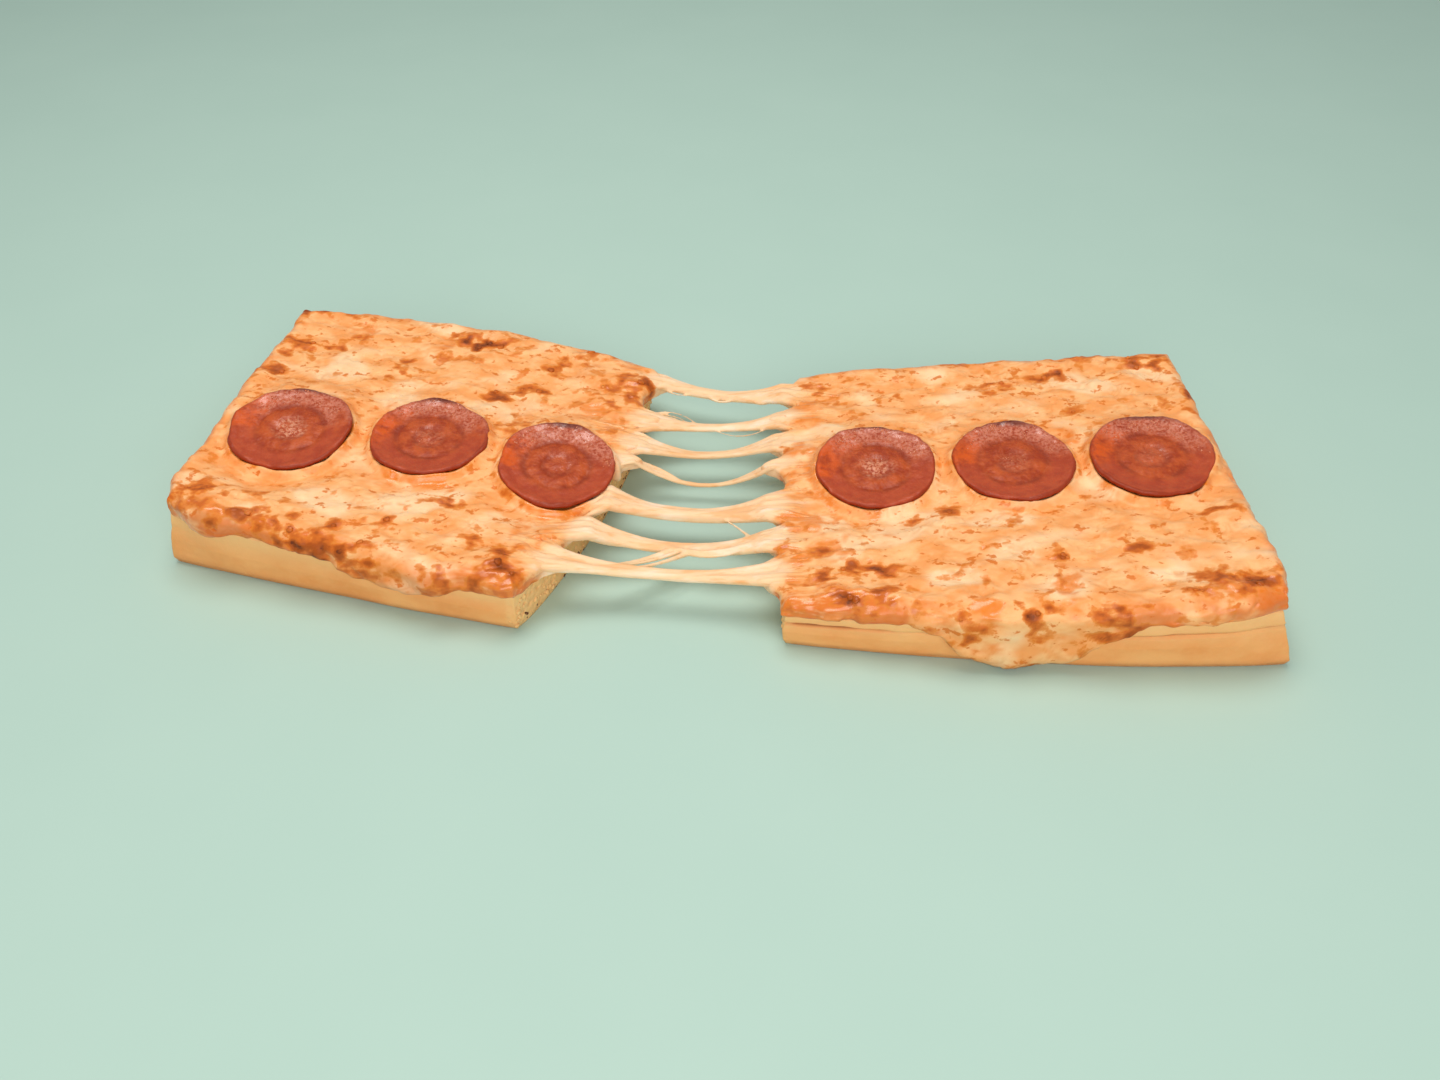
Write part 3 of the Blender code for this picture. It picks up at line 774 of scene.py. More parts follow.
def pepperoni_edge(x, y):
    """Distance from each place to the nearest pepperoni round's edge, below 0 inside it."""
    away = np.full_like(x, SEAT_BLEND)
    for half in HALVES:
        for number, spot in enumerate(half.pepperoni, start=1):
            distance = np.hypot(x - spot.x, y - spot.y)
            near = distance < SEAT_BLEND
            turn = np.arctan2(y[near] - spot.y, x[near] - spot.x)
            reach = PEPPERONI_RADIUS * (1 + OUTLINE_WOBBLE * round_wobble(round_seed(number, spot), turn))
            away[near] = np.minimum(away[near], distance[near] - reach)
    return away


def curds_at(x, y, z):
    """Noise whose contours are the edges of the curds, which lie over each other."""
    drift = 3.0 * noise_at(x / 14, y / 14, 44.0)
    return noise_at((x + drift) / 9.0, (y - drift) / 6.0, z / 11 + 75, octaves=2)


def cheese_masks(places):
    """How far the cheese is browned, under painted shade at the foot of its curd steps, pale (cream, with
    some painted highlights), oily, stretched and pulled at each place, from 0 to 1.
    """
    x, y, z = places.T
    drift = DRIFT.at(x, y, z)
    wander = x + WANDER_X.at(x, y, z), y + WANDER_Y.at(x, y, z)
    cloud = CLOUD.at(x, y, z)
    stretch = stretch_at(x, y, STRETCH_REACH, STRETCH_BETWEEN)
    pulled = stretch_at(x, y, OILY_REACH) * (1 - stretch)
    browned = patch_strength(BROWNED, *wander)
    brown = (0.46 + 0.5 * browned) * STREAK.at(x + drift, y + drift, z) + 0.66 * browned
    brown += 0.05 * cloud - 0.4 * stretch
    pale = CREAMY.at(x, y, z) + 0.9 * patch_strength(PALE, *wander) + 0.35 * cloud
    near_round = bell(np.maximum(pepperoni_edge(x, y), 0), ROUND_OIL_REACH)
    slick = SLICK.at(x + drift, y - drift, z) + 0.85 * patch_strength(OILY, *wander)
    slick += 0.4 * near_round + 0.5 * pulled - 0.6 * stretch
    curds = curds_at(x, y, z)
    # Painted shade in a thin band at the foot of each curd step, where the terraces drop
    folds = []
    for step in CURD_STEPS:
        folds.append(smooth(step - 0.2, step - 0.04, curds) * smooth(step + 0.08, step - 0.04, curds))
    return {
        "brown": np.clip(brown, 0, 1),
        "fold": np.max(folds, axis=0),
        "pale": smooth(0.05, 0.6, pale),
        "oil": smooth(0.25, 0.7, slick),
        "stretch": stretch,
        "pulled": stretch_at(x, y, PULL_REACH),
    }


def cheese_relief(places, masks, from_edge):
    """Height of the melted cheese's fine relief: runs along the pull, lumps, curds, blisters and pits."""
    x, y, z = places.T
    blisters = smooth(0.5, 0.1, cells_at(x / 5.5, y / 4.0, z / 4.0 + 65))
    pits = smooth(0.40, 0.62, PITS.at(x, y, z))
    near_front = bell(from_edge, FRONT_REACH) * smooth(-15.0, -35.0, y)
    inner = smooth(0.5, 6.0, from_edge)
    settled = 1 - masks["pulled"]
    curds = curds_at(x, y, z)
    terraces = sum(smooth(step - CURD_SLOPE, step + CURD_SLOPE, curds) for step in CURD_STEPS)
    height = RUNS.at(x, y, z) + HEAPS.at(x, y, z)
    height += LUMPS.at(x, y, z) * (1 + 1.8 * near_front) + KNOBS.at(x, y, z) * (1 + 2.5 * near_front)
    height += blisters * (BROWN_BLISTER * masks["brown"] + SOFT_BLISTER * settled)
    height -= PIT_DEPTH * pits * settled
    height += inner * (CURD_HEIGHT * terraces * (1 - masks["stretch"]) - CURD_SINK)
    height += RIDGES.at(x, y, z) * masks["pulled"]
    from_round = pepperoni_edge(x, y)
    height = mix(height, -GAP, smooth(1.0, -1.5, from_round))
    return height + ROUND_HUG * bell(from_round - 0.2, 1.5)


def grid_border(cells):
    """Numbers of a grid's border points, anticlockwise from above."""
    count = cells + 1
    steps = np.arange(cells)
    front = steps * count
    right = cells * count + steps
    back = (cells - steps) * count + cells
    left = cells - steps
    return np.concatenate([front, right, back, left])


def grid_faces(cells):
    count = cells + 1
    corner = (np.arange(cells)[:, None] * count + np.arange(cells)[None, :]).ravel()
    return np.stack([corner, corner + count, corner + count + 1, corner + 1], axis=1).tolist()


def make_melt(half):
    """The melted cheese on one half: a fine sheet with a thick rolled rim that has run down the front."""
    line = np.linspace(-1, 1, CAP_CELLS + 1)
    eased = np.sign(line) * (1 - (1 - abs(line)) ** CAP_EASE)
    a, b = (grid.ravel() for grid in np.meshgrid(eased, eased, indexing="ij"))
    top = cheese_top(half, a, b)
    border = grid_border(CAP_CELLS)
    edge_a, edge_b = a[border], b[border]
    (rim, under, inside), drip = cheese_under(half, edge_a, edge_b)
    outer = np.stack(cheese_plan(half, edge_a, edge_b, OVERHANG + 1), axis=-1)
    outward = np.zeros_like(rim)
    outward[:, :2] = outer - top[border][:, :2]
    rings = []
    for number in range(1, WALL_RINGS + 1):
        level = number / WALL_RINGS
        belly = WALL_BELLY * math.sin(math.pi * level) - RIM_TUCK * level ** 8
        belly = belly + DRIP_BELLY * drip * float(bell(level - 0.8, 0.22))
        rings.append(mix(top[border], rim, level) + outward * np.reshape(belly, (-1, 1)))
    rim = rings[-1]
    rings += [mix(rim, under, share) for share in (0.15, 0.4, 0.7, 1.0)] + [inside]
    first = len(top)
    count = len(border)
    loops = [first + np.arange(count) + count * number for number in range(len(rings))]
    points = np.concatenate([top, *rings, [inside.mean(axis=0)]])
    faces = grid_faces(CAP_CELLS) + ring_faces([border, *loops][::-1])
    faces += fan_faces(loops[-1][::-1], len(points) - 1)
    melt = new_piece(f"melt_{half.name}", points, faces)
    from_edge = np.concatenate([edge_distance(half, a, b), np.zeros(len(points) - first)])
    places = places_of(melt)
    raise_surface(melt, cheese_relief(places, cheese_masks(places), from_edge))
    # The wall mask: browning of the cheese's rim and wall, strongest towards the bottom of the wall and
    # underneath, where it is partly painted shade
    levels = mix(0.7, 1.0, np.clip(np.arange(1, len(rings)) / WALL_RINGS, 0, 1))
    wall = np.outer(levels, smooth(8.0, 2.0, drip)).ravel()
    rim_share = 0.7 * smooth(6.0, 0.0, edge_distance(half, a, b)) * (1 - on_torn_side(half, a, b))
    rim_share *= smooth(8.0, 2.0, drip_depth(half, top[:, 0], b))
    wall = np.concatenate([rim_share, wall, np.ones(len(points) - first - len(wall))])
    store(melt, wall=wall, **cheese_masks(places_of(melt)))
    return melt


def string_centre(string, along):
    """The string's middle at these shares of its span, which go past 0 and 1 onto the halves."""
    ends = []
    for half, y in ((LEFT, string.left_y), (RIGHT, string.right_y)):
        x = torn_edge_x(half, y) + half.torn_sign * ROOT_REACH
        ends.append((x, y, bread_top(half, x) + CHEESE_FLOOR + ROOT_RISE))
    left, right = np.array(ends)
    between = np.clip(along, 0.0, 1.0)
    places = mix(left, right, between[:, None])
    places[:, 0] = mix(left[0], right[0], along)
    places[:, 2] -= string.sag * 4 * between * (1 - between)
    return places, right[0] - left[0]


def lay_on_cheese(places, radius, inwards):
    """Lowers or lifts the parts of a strand that lie on a half onto its cheese."""
    for half in HALVES:
        reach = torn_edge_x(half, places[:, 1]) + half.torn_sign * ROOT_REACH
        over = half.torn_sign * (reach - places[:, 0])
        on_half = smooth(0.0, 9.0, over)
        level = cheese_level(half, places[:, 0], places[:, 1]) - radius * mix(0.2, 1.3, inwards)
        places[:, 2] = mix(places[:, 2], level, on_half)
    return places


def make_strand(string, number, random):
    """Points and radii of one strand of a string, from where it sinks into one half to the other."""
    _, span = string_centre(string, np.zeros(1))
    left_run = string.left_run * random.uniform(0.45, 1.0) / span
    right_run = string.right_run * random.uniform(0.45, 1.0) / span
    along = np.linspace(-left_run, 1 + right_run, STRAND_POINTS)
    places, _ = string_centre(string, along)
    side = 2 * number / max(1, string.strands - 1) - 1 + random.uniform(-0.15, 0.15)
    over_left = np.clip(-along / left_run, 0, 1)
    over_right = np.clip((along - 1) / right_run, 0, 1)
    between = np.clip(along, 0.0, 1.0)
    fan = string.left_fan * (0.38 * (1 - between) ** 4 + 0.75 * over_left)
    fan += string.right_fan * (0.38 * between ** 4 + 0.75 * over_right)
    places[:, 1] += side * (string.spread + fan) + 0.3 * noise_at(along * 4, number, string.left_y)
    places[:, 1] += string.left_lean * over_left + string.right_lean * over_right
    places[:, 2] += string.spread * 0.6 * random.uniform(-1, 1) * (1 - abs(2 * between - 1) ** 3)
    inwards = np.maximum(over_left, over_right)
    root = abs(2 * between - 1) ** 4
    radius = string.radius * random.uniform(0.42, 0.66) * (1 + 0.5 * root)
    uneven = 1 + 0.18 * noise_at(along * 5, number + 9.5, string.left_y)
    radius = radius * uneven * (1 - 0.75 * inwards ** 1.5)
    return lay_on_cheese(places, radius, inwards), radius


def make_wisp(wisp):
    """Points and radii of a thread between two places on the strings, bowed to one side."""
    share = np.linspace(0, 1, STRAND_POINTS // 2)
    start, _ = string_centre(STRINGS[wisp.start], np.array([wisp.start_share]))
    end, _ = string_centre(STRINGS[wisp.end], np.array([wisp.end_share]))
    places = mix(start, end, share[:, None])
    bow = 4 * share * (1 - share)
    places[:, 1] += wisp.side * bow
    places[:, 2] -= wisp.sag * bow
    radius = np.maximum(mix(wisp.start_radius, wisp.end_radius, share) * (1 - 0.45 * bow), THINNEST)
    return lay_on_cheese(places, radius, 0.0), radius


def strand_guides():
    """One mesh of bare edges, a line of points for each strand, that knows each point's radius."""
    random = np.random.default_rng(7)
    strands = [make_strand(string, number, random) for string in STRINGS for number in range(string.strands)]
    strands += [make_wisp(wisp) for wisp in WISPS]
    edges = []
    first = 0
    for places, _ in strands:
        edges += [(first + i, first + i + 1) for i in range(len(places) - 1)]
        first += len(places)
    guides = new_piece("pull", np.concatenate([places for places, _ in strands]), [])
    guides.data.edges.add(len(edges))
    guides.data.edges.foreach_set("vertices", np.array(edges).ravel())
    guides.data.update()
    store(guides, radius=np.concatenate([radius for _, radius in strands]) * MM)
    return guides


def feed(tree, socket, value):
    """Sets a socket to a value, or links it to another socket."""
    source = getattr(value, "socket", value)
    if isinstance(source, bpy.types.NodeSocket):
        tree.links.new(source, socket)
    else:
        socket.default_value = source


def add_node(tree, kind, settings, sockets):
    """Adds a node: its settings are made first, then its sockets set or linked."""
    node = tree.nodes.new(kind)
    for key, value in settings.items():
        setattr(node, key, value)
    for key, value in sockets.items():
        feed(tree, node.inputs[key], value)
    return node


class Tree:
    """A Geometry Nodes tree in the making, with named inputs."""

    def __init__(self, name, **inputs):
        self.group = bpy.data.node_groups.new(name, "GeometryNodeTree")
        self.group.interface.new_socket("Geometry", in_out="INPUT", socket_type="NodeSocketGeometry")
        self.group.interface.new_socket("Geometry", in_out="OUTPUT", socket_type="NodeSocketGeometry")
        for label, kind in inputs.items():
            self.group.interface.new_socket(label, in_out="INPUT", socket_type=f"NodeSocket{kind}")
        self.source = self.group.nodes.new("NodeGroupInput")

    def given(self, label):
        return self.source.outputs[label]

    def add(self, kind, settings, sockets, output=0):
        """Adds a node and returns one of its outputs."""
        return add_node(self.group, kind, settings, sockets).outputs[output]

    def end(self, geometry, material):
        """Makes instances real, gives the result its material and sends it out."""
        real = self.add("GeometryNodeRealizeInstances", {}, {0: geometry})
        dressed = self.add("GeometryNodeSetMaterial", {}, {"Geometry": real, "Material": material})
        out = self.group.nodes.new("NodeGroupOutput")
        self.group.links.new(dressed, out.inputs[0])
        return self.group


def tube_tree():
    """Sweeps a round tube along each line of points, as thick as the points' radius says."""
    tree = Tree("tubes_along_lines", Sides="Int", Material="Material")
    radius = tree.add("GeometryNodeInputNamedAttribute", {"data_type": "FLOAT"}, {"Name": "radius"})
    lines = tree.add("GeometryNodeMeshToCurve", {}, {0: tree.given("Geometry")})
    sockets = {"Resolution": tree.given("Sides"), "Radius": 1.0}
    profile = tree.add("GeometryNodeCurvePrimitiveCircle", {}, sockets)
    sockets = {"Curve": lines, "Profile Curve": profile, "Scale": radius, "Fill Caps": True}
    tubes = tree.add("GeometryNodeCurveToMesh", {}, sockets)
    return tree.end(tubes, tree.given("Material"))


def lump_tree():
    """Scatters small uneven lumps, half sunk in a surface, where its points' density says."""
    sizes = {"Number": "Float", "Size": "Float", "Flatness": "Float"}
    tree = Tree("scattered_lumps", **sizes, Seed="Int", Material="Material")
    density = tree.add("GeometryNodeInputNamedAttribute", {"data_type": "FLOAT"}, {"Name": "density"})
    number = tree.add("ShaderNodeMath", {"operation": "MULTIPLY"}, {0: density, 1: tree.given("Number")})
    sockets = {"Mesh": tree.given("Geometry"), "Density": number, "Seed": tree.given("Seed")}
    spots = tree.add("GeometryNodeDistributePointsOnFaces", {}, sockets)
    ball = tree.add("GeometryNodeMeshIcoSphere", {}, {"Radius": 1.0, "Subdivisions": 2})
    noise_colour = tree.add("ShaderNodeTexNoise", {}, {"Scale": 0.9, "Detail": 1.0}, output="Color")
    dent = tree.add("ShaderNodeVectorMath", {"operation": "SUBTRACT"}, {0: noise_colour, 1: (0.5, 0.5, 0.5)})
    lump = tree.add("GeometryNodeSetPosition", {}, {"Geometry": ball, "Offset": dent})
    chance = tree.add("FunctionNodeRandomValue", {"data_type": "FLOAT"}, {2: 0.35, 3: 1.0}, output=1)
    size = tree.add("ShaderNodeMath", {"operation": "MULTIPLY"}, {0: chance, 1: tree.given("Size")})
    tall = tree.add("ShaderNodeMath", {"operation": "MULTIPLY"}, {0: size, 1: tree.given("Flatness")})
    scale = tree.add("ShaderNodeCombineXYZ", {}, {0: size, 1: size, 2: tall})
    sockets = {"Points": spots, "Instance": lump, "Rotation": spots.node.outputs["Rotation"], "Scale": scale}
    lumps = tree.add("GeometryNodeInstanceOnPoints", {}, sockets)
    turns = {0: (0, 0, 0), 1: (0, 0, 2 * math.pi)}
    spin = tree.add("FunctionNodeRandomValue", {"data_type": "FLOAT_VECTOR"}, turns)
    turned = tree.add("GeometryNodeRotateInstances", {}, {"Instances": lumps, "Rotation": spin})
    return tree.end(turned, tree.given("Material"))


def run_tree(piece, group, **values):
    """Adds the tree to the piece with its named inputs set."""
    modifier = piece.modifiers.new(group.name, "NODES")
    modifier.node_group = group
    for item in group.interface.items_tree:
        if item.in_out == "INPUT" and item.name in values:
            modifier[item.identifier] = values[item.name]
    return modifier


def settle(piece):
    """Makes what the piece's modifiers give its own mesh, and removes them."""
    bpy.context.view_layer.update()
    graph = bpy.context.evaluated_depsgraph_get()
    mesh = bpy.data.meshes.new_from_object(piece.evaluated_get(graph))
    piece.modifiers.clear()
    piece.data = mesh
    mesh.name = piece.name
    mesh.shade_smooth()
    return piece


def scatter(host, name, density, group, **values):
    """Lumps over a copy of the host's surface, as a piece of their own."""
    lumps = bpy.data.objects.new(f"{host.name}_{name}", host.data.copy())
    bpy.context.scene.collection.objects.link(lumps)
    store(lumps, density=density)
    run_tree(lumps, group, **values)
    settle(lumps)
    move_points(lumps, places_of(lumps))
    return lumps


def make_pull(material):
    """The strings: every strand swept as a tube, all melted into one skin."""
    pull = strand_guides()
    run_tree(pull, tube_tree(), Sides=STRAND_SIDES, Material=material)
    settle(pull)
    melting = pull.modifiers.new("melt", "REMESH")
    melting.mode = "VOXEL"
    melting.voxel_size = STRAND_DETAIL * MM
    softening = pull.modifiers.new("soften", "SMOOTH")
    softening.factor = 0.5
    softening.iterations = 6
    settle(pull)
    store(pull, **cheese_masks(places_of(pull)))
    return pull


def bread_level_at(half, a, b, height):
    """Inset and lift of the bread's wall at a share of the way through its levels."""
    number = min(int(height), len(BREAD_LEVELS) - 2)
    share = height - number
    rings = []
    for level in (number, number + 1):
        part, lift, inset = BREAD_LEVELS[level]
        inset += half.crease * (level == CREASE_LEVEL)
        crust = 1 - on_torn_side(half, a, b)
        moved_in = inset * mix(TORN_INSET_SHARE, 1.0, crust) + outline_ripple(BREAD_WAVE, a, b, part)
        moved_in += BREAD_TUCK * part * corner_tuck(half, a, b)
        width, depth = half_size(half)
        moved_out = half.flare * (1 - part) * smooth(FLARE_START, 1.0, -half.torn_sign * a)
        x, y = plan(half, a * (1 + (moved_out - moved_in) / width), b * (1 - moved_in / depth))
        rings.append(np.stack([x, y, bread_top(half, x) * part + lift], axis=-1))
    return mix(rings[0], rings[1], share)


def wall_steps():
    """Numbers that walk up the bread's levels, with more steps where the wall is tall."""
    steps = []
    for level, count in enumerate(STEPS_PER_LEVEL):
        steps += [level + i / count for i in range(count)]
    return steps + [len(BREAD_LEVELS) - 1.0]


def make_bread(half):
    """A bread base with a baked foot, soft creased walls and an open crumb on the torn side."""
    a, b = outline(BREAD_SIDE_STEPS)
    walls = [bread_level_at(half, a, b, height) for height in wall_steps()]
    middle = np.array([plan(half, np.zeros(1), np.zeros(1))]).ravel()
    shrink = np.linspace(0.06, 0.97, 22)
    foot = [mix(np.array([*middle, 0.0]), walls[0], share) for share in shrink]
    summit = np.array([*middle, float(bread_top(half, middle[0]))])
    crown = [mix(summit, walls[-1], share) for share in shrink[::-5]]
    points, faces = closed_rings([*foot, *walls, *crown])
    bread = new_piece(f"bread_{half.name}_baked", points, faces)
    places = places_of(bread)
    x, y, z = places.T
    height = z / bread_top(half, x)
    torn = torn_face(half, x, y)
    relief = 0.30 * noise_at(x / 13, y / 13, z / 9 + 3) + 0.12 * noise_at(x / 4, y / 4, z / 3 + 9, octaves=2)
    folds = noise_at(x / 7, y / 7, z / 2.2 + 19) * bell(height - CREASE_HEIGHT, 0.12)
    relief += 0.45 * folds * (1 - torn) * (half.crease > 0)
    openness = [strength * bell(x - spot, reach) for spot, reach, strength in CREASE_OPEN]
    closed = 1 - np.max(openness, axis=0)
    relief += 0.8 * closed * bell(height - CREASE_HEIGHT, 0.035) * (half.crease > 0)
    # Painted shade in the crease, in the parts where it stays open
    crease = bell(height - CREASE_HEIGHT - 0.03 * noise_at(x / 15, y / 15, 4.0), 0.022) * (1 - closed)
    crease *= (half.crease > 0) * (1 - torn)
    on_wall = smooth(0.3, 1.2, z)
    cells = np.full_like(x, 0.5)
    near = torn > 0.02
    cells[near] = cells_at(x[near] / 2.6, y[near] / 2.6, z[near] / 1.8 + 5)
    pores = smooth(0.42, 0.12, cells) * torn
    tufts = noise_at(x / 2.1, y / 2.1, z / 1.6 + 61, octaves=3) * torn
    relief = relief * on_wall - 0.4 * pores * on_wall + 0.16 * tufts * on_wall
    raise_surface(bread, relief)
    store(bread, height=height, torn=torn, pores=pores, crease=crease)
    return bread


def torn_face(half, x, y):
    """1 on the torn face of a half's bread, 0 away from it."""
    off_edge = half.torn_sign * (torn_edge_x(half, y) - x)
    low = half.corners[0][1] if half.torn_sign < 0 else half.corners[1][1]
    high = half.corners[3][1] if half.torn_sign < 0 else half.corners[2][1]
    return smooth(3.5, 1.5, off_edge) * smooth(low - 1, low + 3, y) * smooth(high + 1, high - 3, y)


def make_sauce(half):
    """The thin bed of tomato sauce, which shows as a lumpy bead at the sides."""
    a, b = outline(SAUCE_SIDE_STEPS)
    width, depth = half_size(half)

    def level(turn):
        inset = SAUCE_INSET + SAUCE_EDGE * (1 - math.sin(turn)) + outline_ripple(SAUCE_WAVE, a, b)
        inset += corner_tuck(half, a, b)
        x, y = plan(half, a * (1 - inset / width), b * (1 - inset / depth))
        z = bread_top(half, x) + GAP + SAUCE_THICKNESS * (1 - math.cos(turn)) / 2
        return np.stack([x, y, z], axis=-1)

    rings = [level(turn) for turn in np.linspace(0, math.pi, 9)]
    points, faces = closed_rings(rings)
    sauce = new_piece(f"sauce_{half.name}_bead", points, faces)
    x, y, z = places_of(sauce).T
    raise_surface(sauce, 0.28 * noise_at(x / 2.4, y / 2.4, z / 1.5 + 13, octaves=2))
    return sauce


def spline_points(corners, count):
    """A smooth line of points through the corners."""
    corners = np.array(corners)
    ends = [2 * corners[0] - corners[1], *corners, 2 * corners[-1] - corners[-2]]
    lengths = np.linalg.norm(np.diff(corners, axis=0), axis=1)
    travelled = np.concatenate([[0], np.cumsum(lengths)])
    walk = np.interp(np.linspace(0, lengths.sum(), count), travelled, np.arange(len(corners)))
    points = []
    for value in walk:
        number = min(int(value), len(corners) - 2)
        t = value - number
        before, start, end, after = ends[number : number + 4]
        cubic = 3 * (start - end) + after - before
        square = 2 * before - 5 * start + 4 * end - after
        bend = t * (end - before + t * (square + t * cubic))
        points.append(start + bend / 2)
    return np.array(points)


def make_pepperoni(half, number, spot):
    """A cupped pepperoni round with a crisp rim, a ring round its middle and a fine grain."""
    profile = spline_points(PEPPERONI_PROFILE, PEPPERONI_RINGS)[::-1][1:-1]
    angle = np.arange(PEPPERONI_SIDES) * 2 * math.pi / PEPPERONI_SIDES
    seed = round_seed(number, spot)
    rings = []
    for radius, height in profile:
        wobble = (radius / PEPPERONI_RADIUS) ** 2 * round_wobble(seed, angle)
        reach = radius * (1 + OUTLINE_WOBBLE * wobble)
        z = height + RIM_WOBBLE * wobble * (height > 1)
        rings.append(np.stack([reach * np.cos(angle), reach * np.sin(angle), z], axis=-1))
    points, faces = closed_rings(rings)
    x, y, z = points.T
    radius = np.hypot(x, y)
    turn = np.arctan2(y, x)
    upper = smooth(1.0, 1.5, z)

    def uneven(size, layer=0):
        return noise_at(x / size, y / size, seed + layer)

    grain = 0.11 * noise_at(x / 1.3, y / 1.3, z / 1.3 + seed, octaves=3)
    grain += 0.20 * noise_at(x / 4.5, y / 4.5, z / 4.5 + seed)
    grain -= 0.35 * bell(radius - OUTER_RING - 0.8 * uneven(5), 0.9) * smooth(-0.3, 0.2, uneven(8, 3))
    grain -= 0.25 * bell(radius - INNER_RING - 1.2 * uneven(4), 0.8) * smooth(-0.2, 0.2, uneven(5, 5))
    grain += 0.35 * smooth(15.5, 17.5, radius) * uneven(3, 7)
    rough_rim = 0.25 * noise_at(turn * 6, radius / 9, seed, octaves=2) * smooth(16.5, 18.5, radius)
    points[:, 2] += upper * grain
    points[:, :2] *= (1 + rough_rim / np.maximum(radius, 1))[:, None]
    disc = new_piece(f"pepperoni_{half.name}_{number}_cured", turn_and_place(points, half, spot), faces)
    move_points(disc, places_of(disc))
    wander = 0.35 * uneven(6)
    reach = radius / PEPPERONI_RADIUS
    back = smooth(0.1, 0.75, np.cos(turn - BACK_TURN) + wander)
    oily = back * smooth(0.6, 0.72, reach) * smooth(0.97, 0.9, reach) + smooth(0.3, 0.1, reach) * spot.glint
    level = np.concatenate([np.repeat([height for _, height in profile], PEPPERONI_SIDES), [0, 2]])
    looks = {
        "reach": reach,
        "disc": points + (0, 0, 10 * seed),
        # Back of the rim: where the painted highlight lies, with real gloss and bumps
        "back": back,
        "front": smooth(0.35, -0.35, np.sin(turn)),
        "glow": smooth(0.72, 0.97, np.cos(turn - GLOW_TURN) + wander),
        "oily": oily * upper * smooth(-0.25, 0.35, uneven(3.5, 11)),
        # Dark back edge: char with painted shadow
        "charred": bell(turn - CHAR_AND_SHADOW_TURN, 0.4) * smooth(0.86, 0.95, reach + 0.04 * uneven(3, 4)),
        "side": smooth(2.9, 2.3, level) * smooth(0.88, 0.93, reach),
        # Where the painted highlight lies at the middle
        "middle": spot.glint * smooth(0.36, 0.1, reach + 0.1 * uneven(3, 6)),
    }
    store(disc, **looks)
    return disc


def turning(turn, first, second):
    """A turn in the plane of two axes, from the first towards the second."""
    matrix = np.eye(3)
    matrix[first, first] = matrix[second, second] = math.cos(turn)
    matrix[second, first] = math.sin(turn)
    matrix[first, second] = -math.sin(turn)
    return matrix


def turn_and_place(points, half, spot):
    """Tilts a round's points and sets them down in their seat."""
    forward = turning(math.radians(spot.forward_tilt), 1, 2)
    right = turning(math.radians(spot.right_tilt), 2, 0)
    return points @ (right @ forward).T + (spot.x, spot.y, float(seat_height(half, spot)))


def paint(red, green, blue):
    """A colour given as on a screen, from 0 to 255, as the shader needs it."""
    shares = [value / 255 for value in (red, green, blue)]
    return (*[s / 12.92 if s <= 0.04045 else ((s + 0.055) / 1.055) ** 2.4 for s in shares], 1.0)


class Value:
    """A shader socket that takes part in Python sums: each operator adds one Math node."""

    def __init__(self, finish, socket):
        self.finish = finish
        self.socket = socket

    def math(self, operation, first, second=0.0):
        return self.finish.add("ShaderNodeMath", {"operation": operation}, {0: first, 1: second})

    def __add__(self, other):
        return self.math("ADD", self, other)

    def __sub__(self, other):
        return self.math("SUBTRACT", self, other)

    def __rsub__(self, other):
        return self.math("SUBTRACT", other, self)

    def __mul__(self, other):
        return self.math("MULTIPLY", self, other)

    __radd__ = __add__
    __rmul__ = __mul__

    def rise(self, low, high):
        """0 below low, 1 above high, and a smooth rise between."""
        sockets = {"Value": self, "From Min": low, "From Max": high}
        return self.finish.add("ShaderNodeMapRange", {"interpolation_type": "SMOOTHSTEP"}, sockets)


class Finish:
    """A material in the making: its nodes, its shader and what feeds it."""

    def __init__(self, name, **constants):
        self.material = bpy.data.materials.new(name)
        self.material.use_nodes = True
        self.tree = self.material.node_tree
        self.shader = self.tree.nodes["Principled BSDF"]
        for label, value in constants.items():
            self.shader.inputs[label.replace("_", " ")].default_value = value
        self.place = self.add("ShaderNodeTexCoord", {}, {}, output="Object")

    def add(self, kind, settings, sockets, output=0):
        """Adds a node and returns one of its outputs as a value."""
        return Value(self, add_node(self.tree, kind, settings, sockets).outputs[output])

    def attribute(self, name, output="Fac"):
        return self.add("ShaderNodeAttribute", {"attribute_name": name}, {}, output=output)

    def noise(self, size, detail=2.0, stretch=(1.0, 1.0, 1.0), place=None, unit=MM, seed=0.0, roughness=0.5):
        """Noise from 0 to 1 with bumps of this size in millimetres, stretched along each axis."""
        scale = [1 / (size * unit * share) for share in stretch]
        sockets = {0: place or self.place, 1: scale}
        spot = self.add("ShaderNodeVectorMath", {"operation": "MULTIPLY"}, sockets)
        spot = self.add("ShaderNodeVectorMath", {"operation": "ADD"}, {0: spot, 1: (seed, seed, seed)})
        sockets = {"Vector": spot, "Scale": 1.0, "Detail": detail, "Roughness": roughness}
        return self.add("ShaderNodeTexNoise", {}, sockets)

    def blend(self, mask, low, high):
        """One colour where the mask is 0 and the other where it is 1."""
        return self.add("ShaderNodeMix", {"data_type": "RGBA"}, {0: mask, 6: low, 7: high}, output=2)

    def bump(self, height, distance, strength=1.0):
        sockets = {"Strength": strength, "Distance": distance * MM, "Height": height}
        return self.add("ShaderNodeBump", {}, sockets)

    def finish(self, colour, roughness, normal, **others):
        """Feeds the shader and returns the material."""
        feed(self.tree, self.shader.inputs["Base Color"], colour)
        feed(self.tree, self.shader.inputs["Roughness"], roughness)
        feed(self.tree, self.shader.inputs["Normal"], normal)
        for label, value in others.items():
            feed(self.tree, self.shader.inputs[label.replace("_", " ")], value)
        return self.material


def in_steps(finish, colour, amount, steps):
    """Takes the colour through darker ones as the amount rises. Each step has its own low and high."""
    for low, high, strength, shade in steps:
        colour = finish.blend(amount.rise(low, high) * strength, colour, paint(*shade))
    return colour


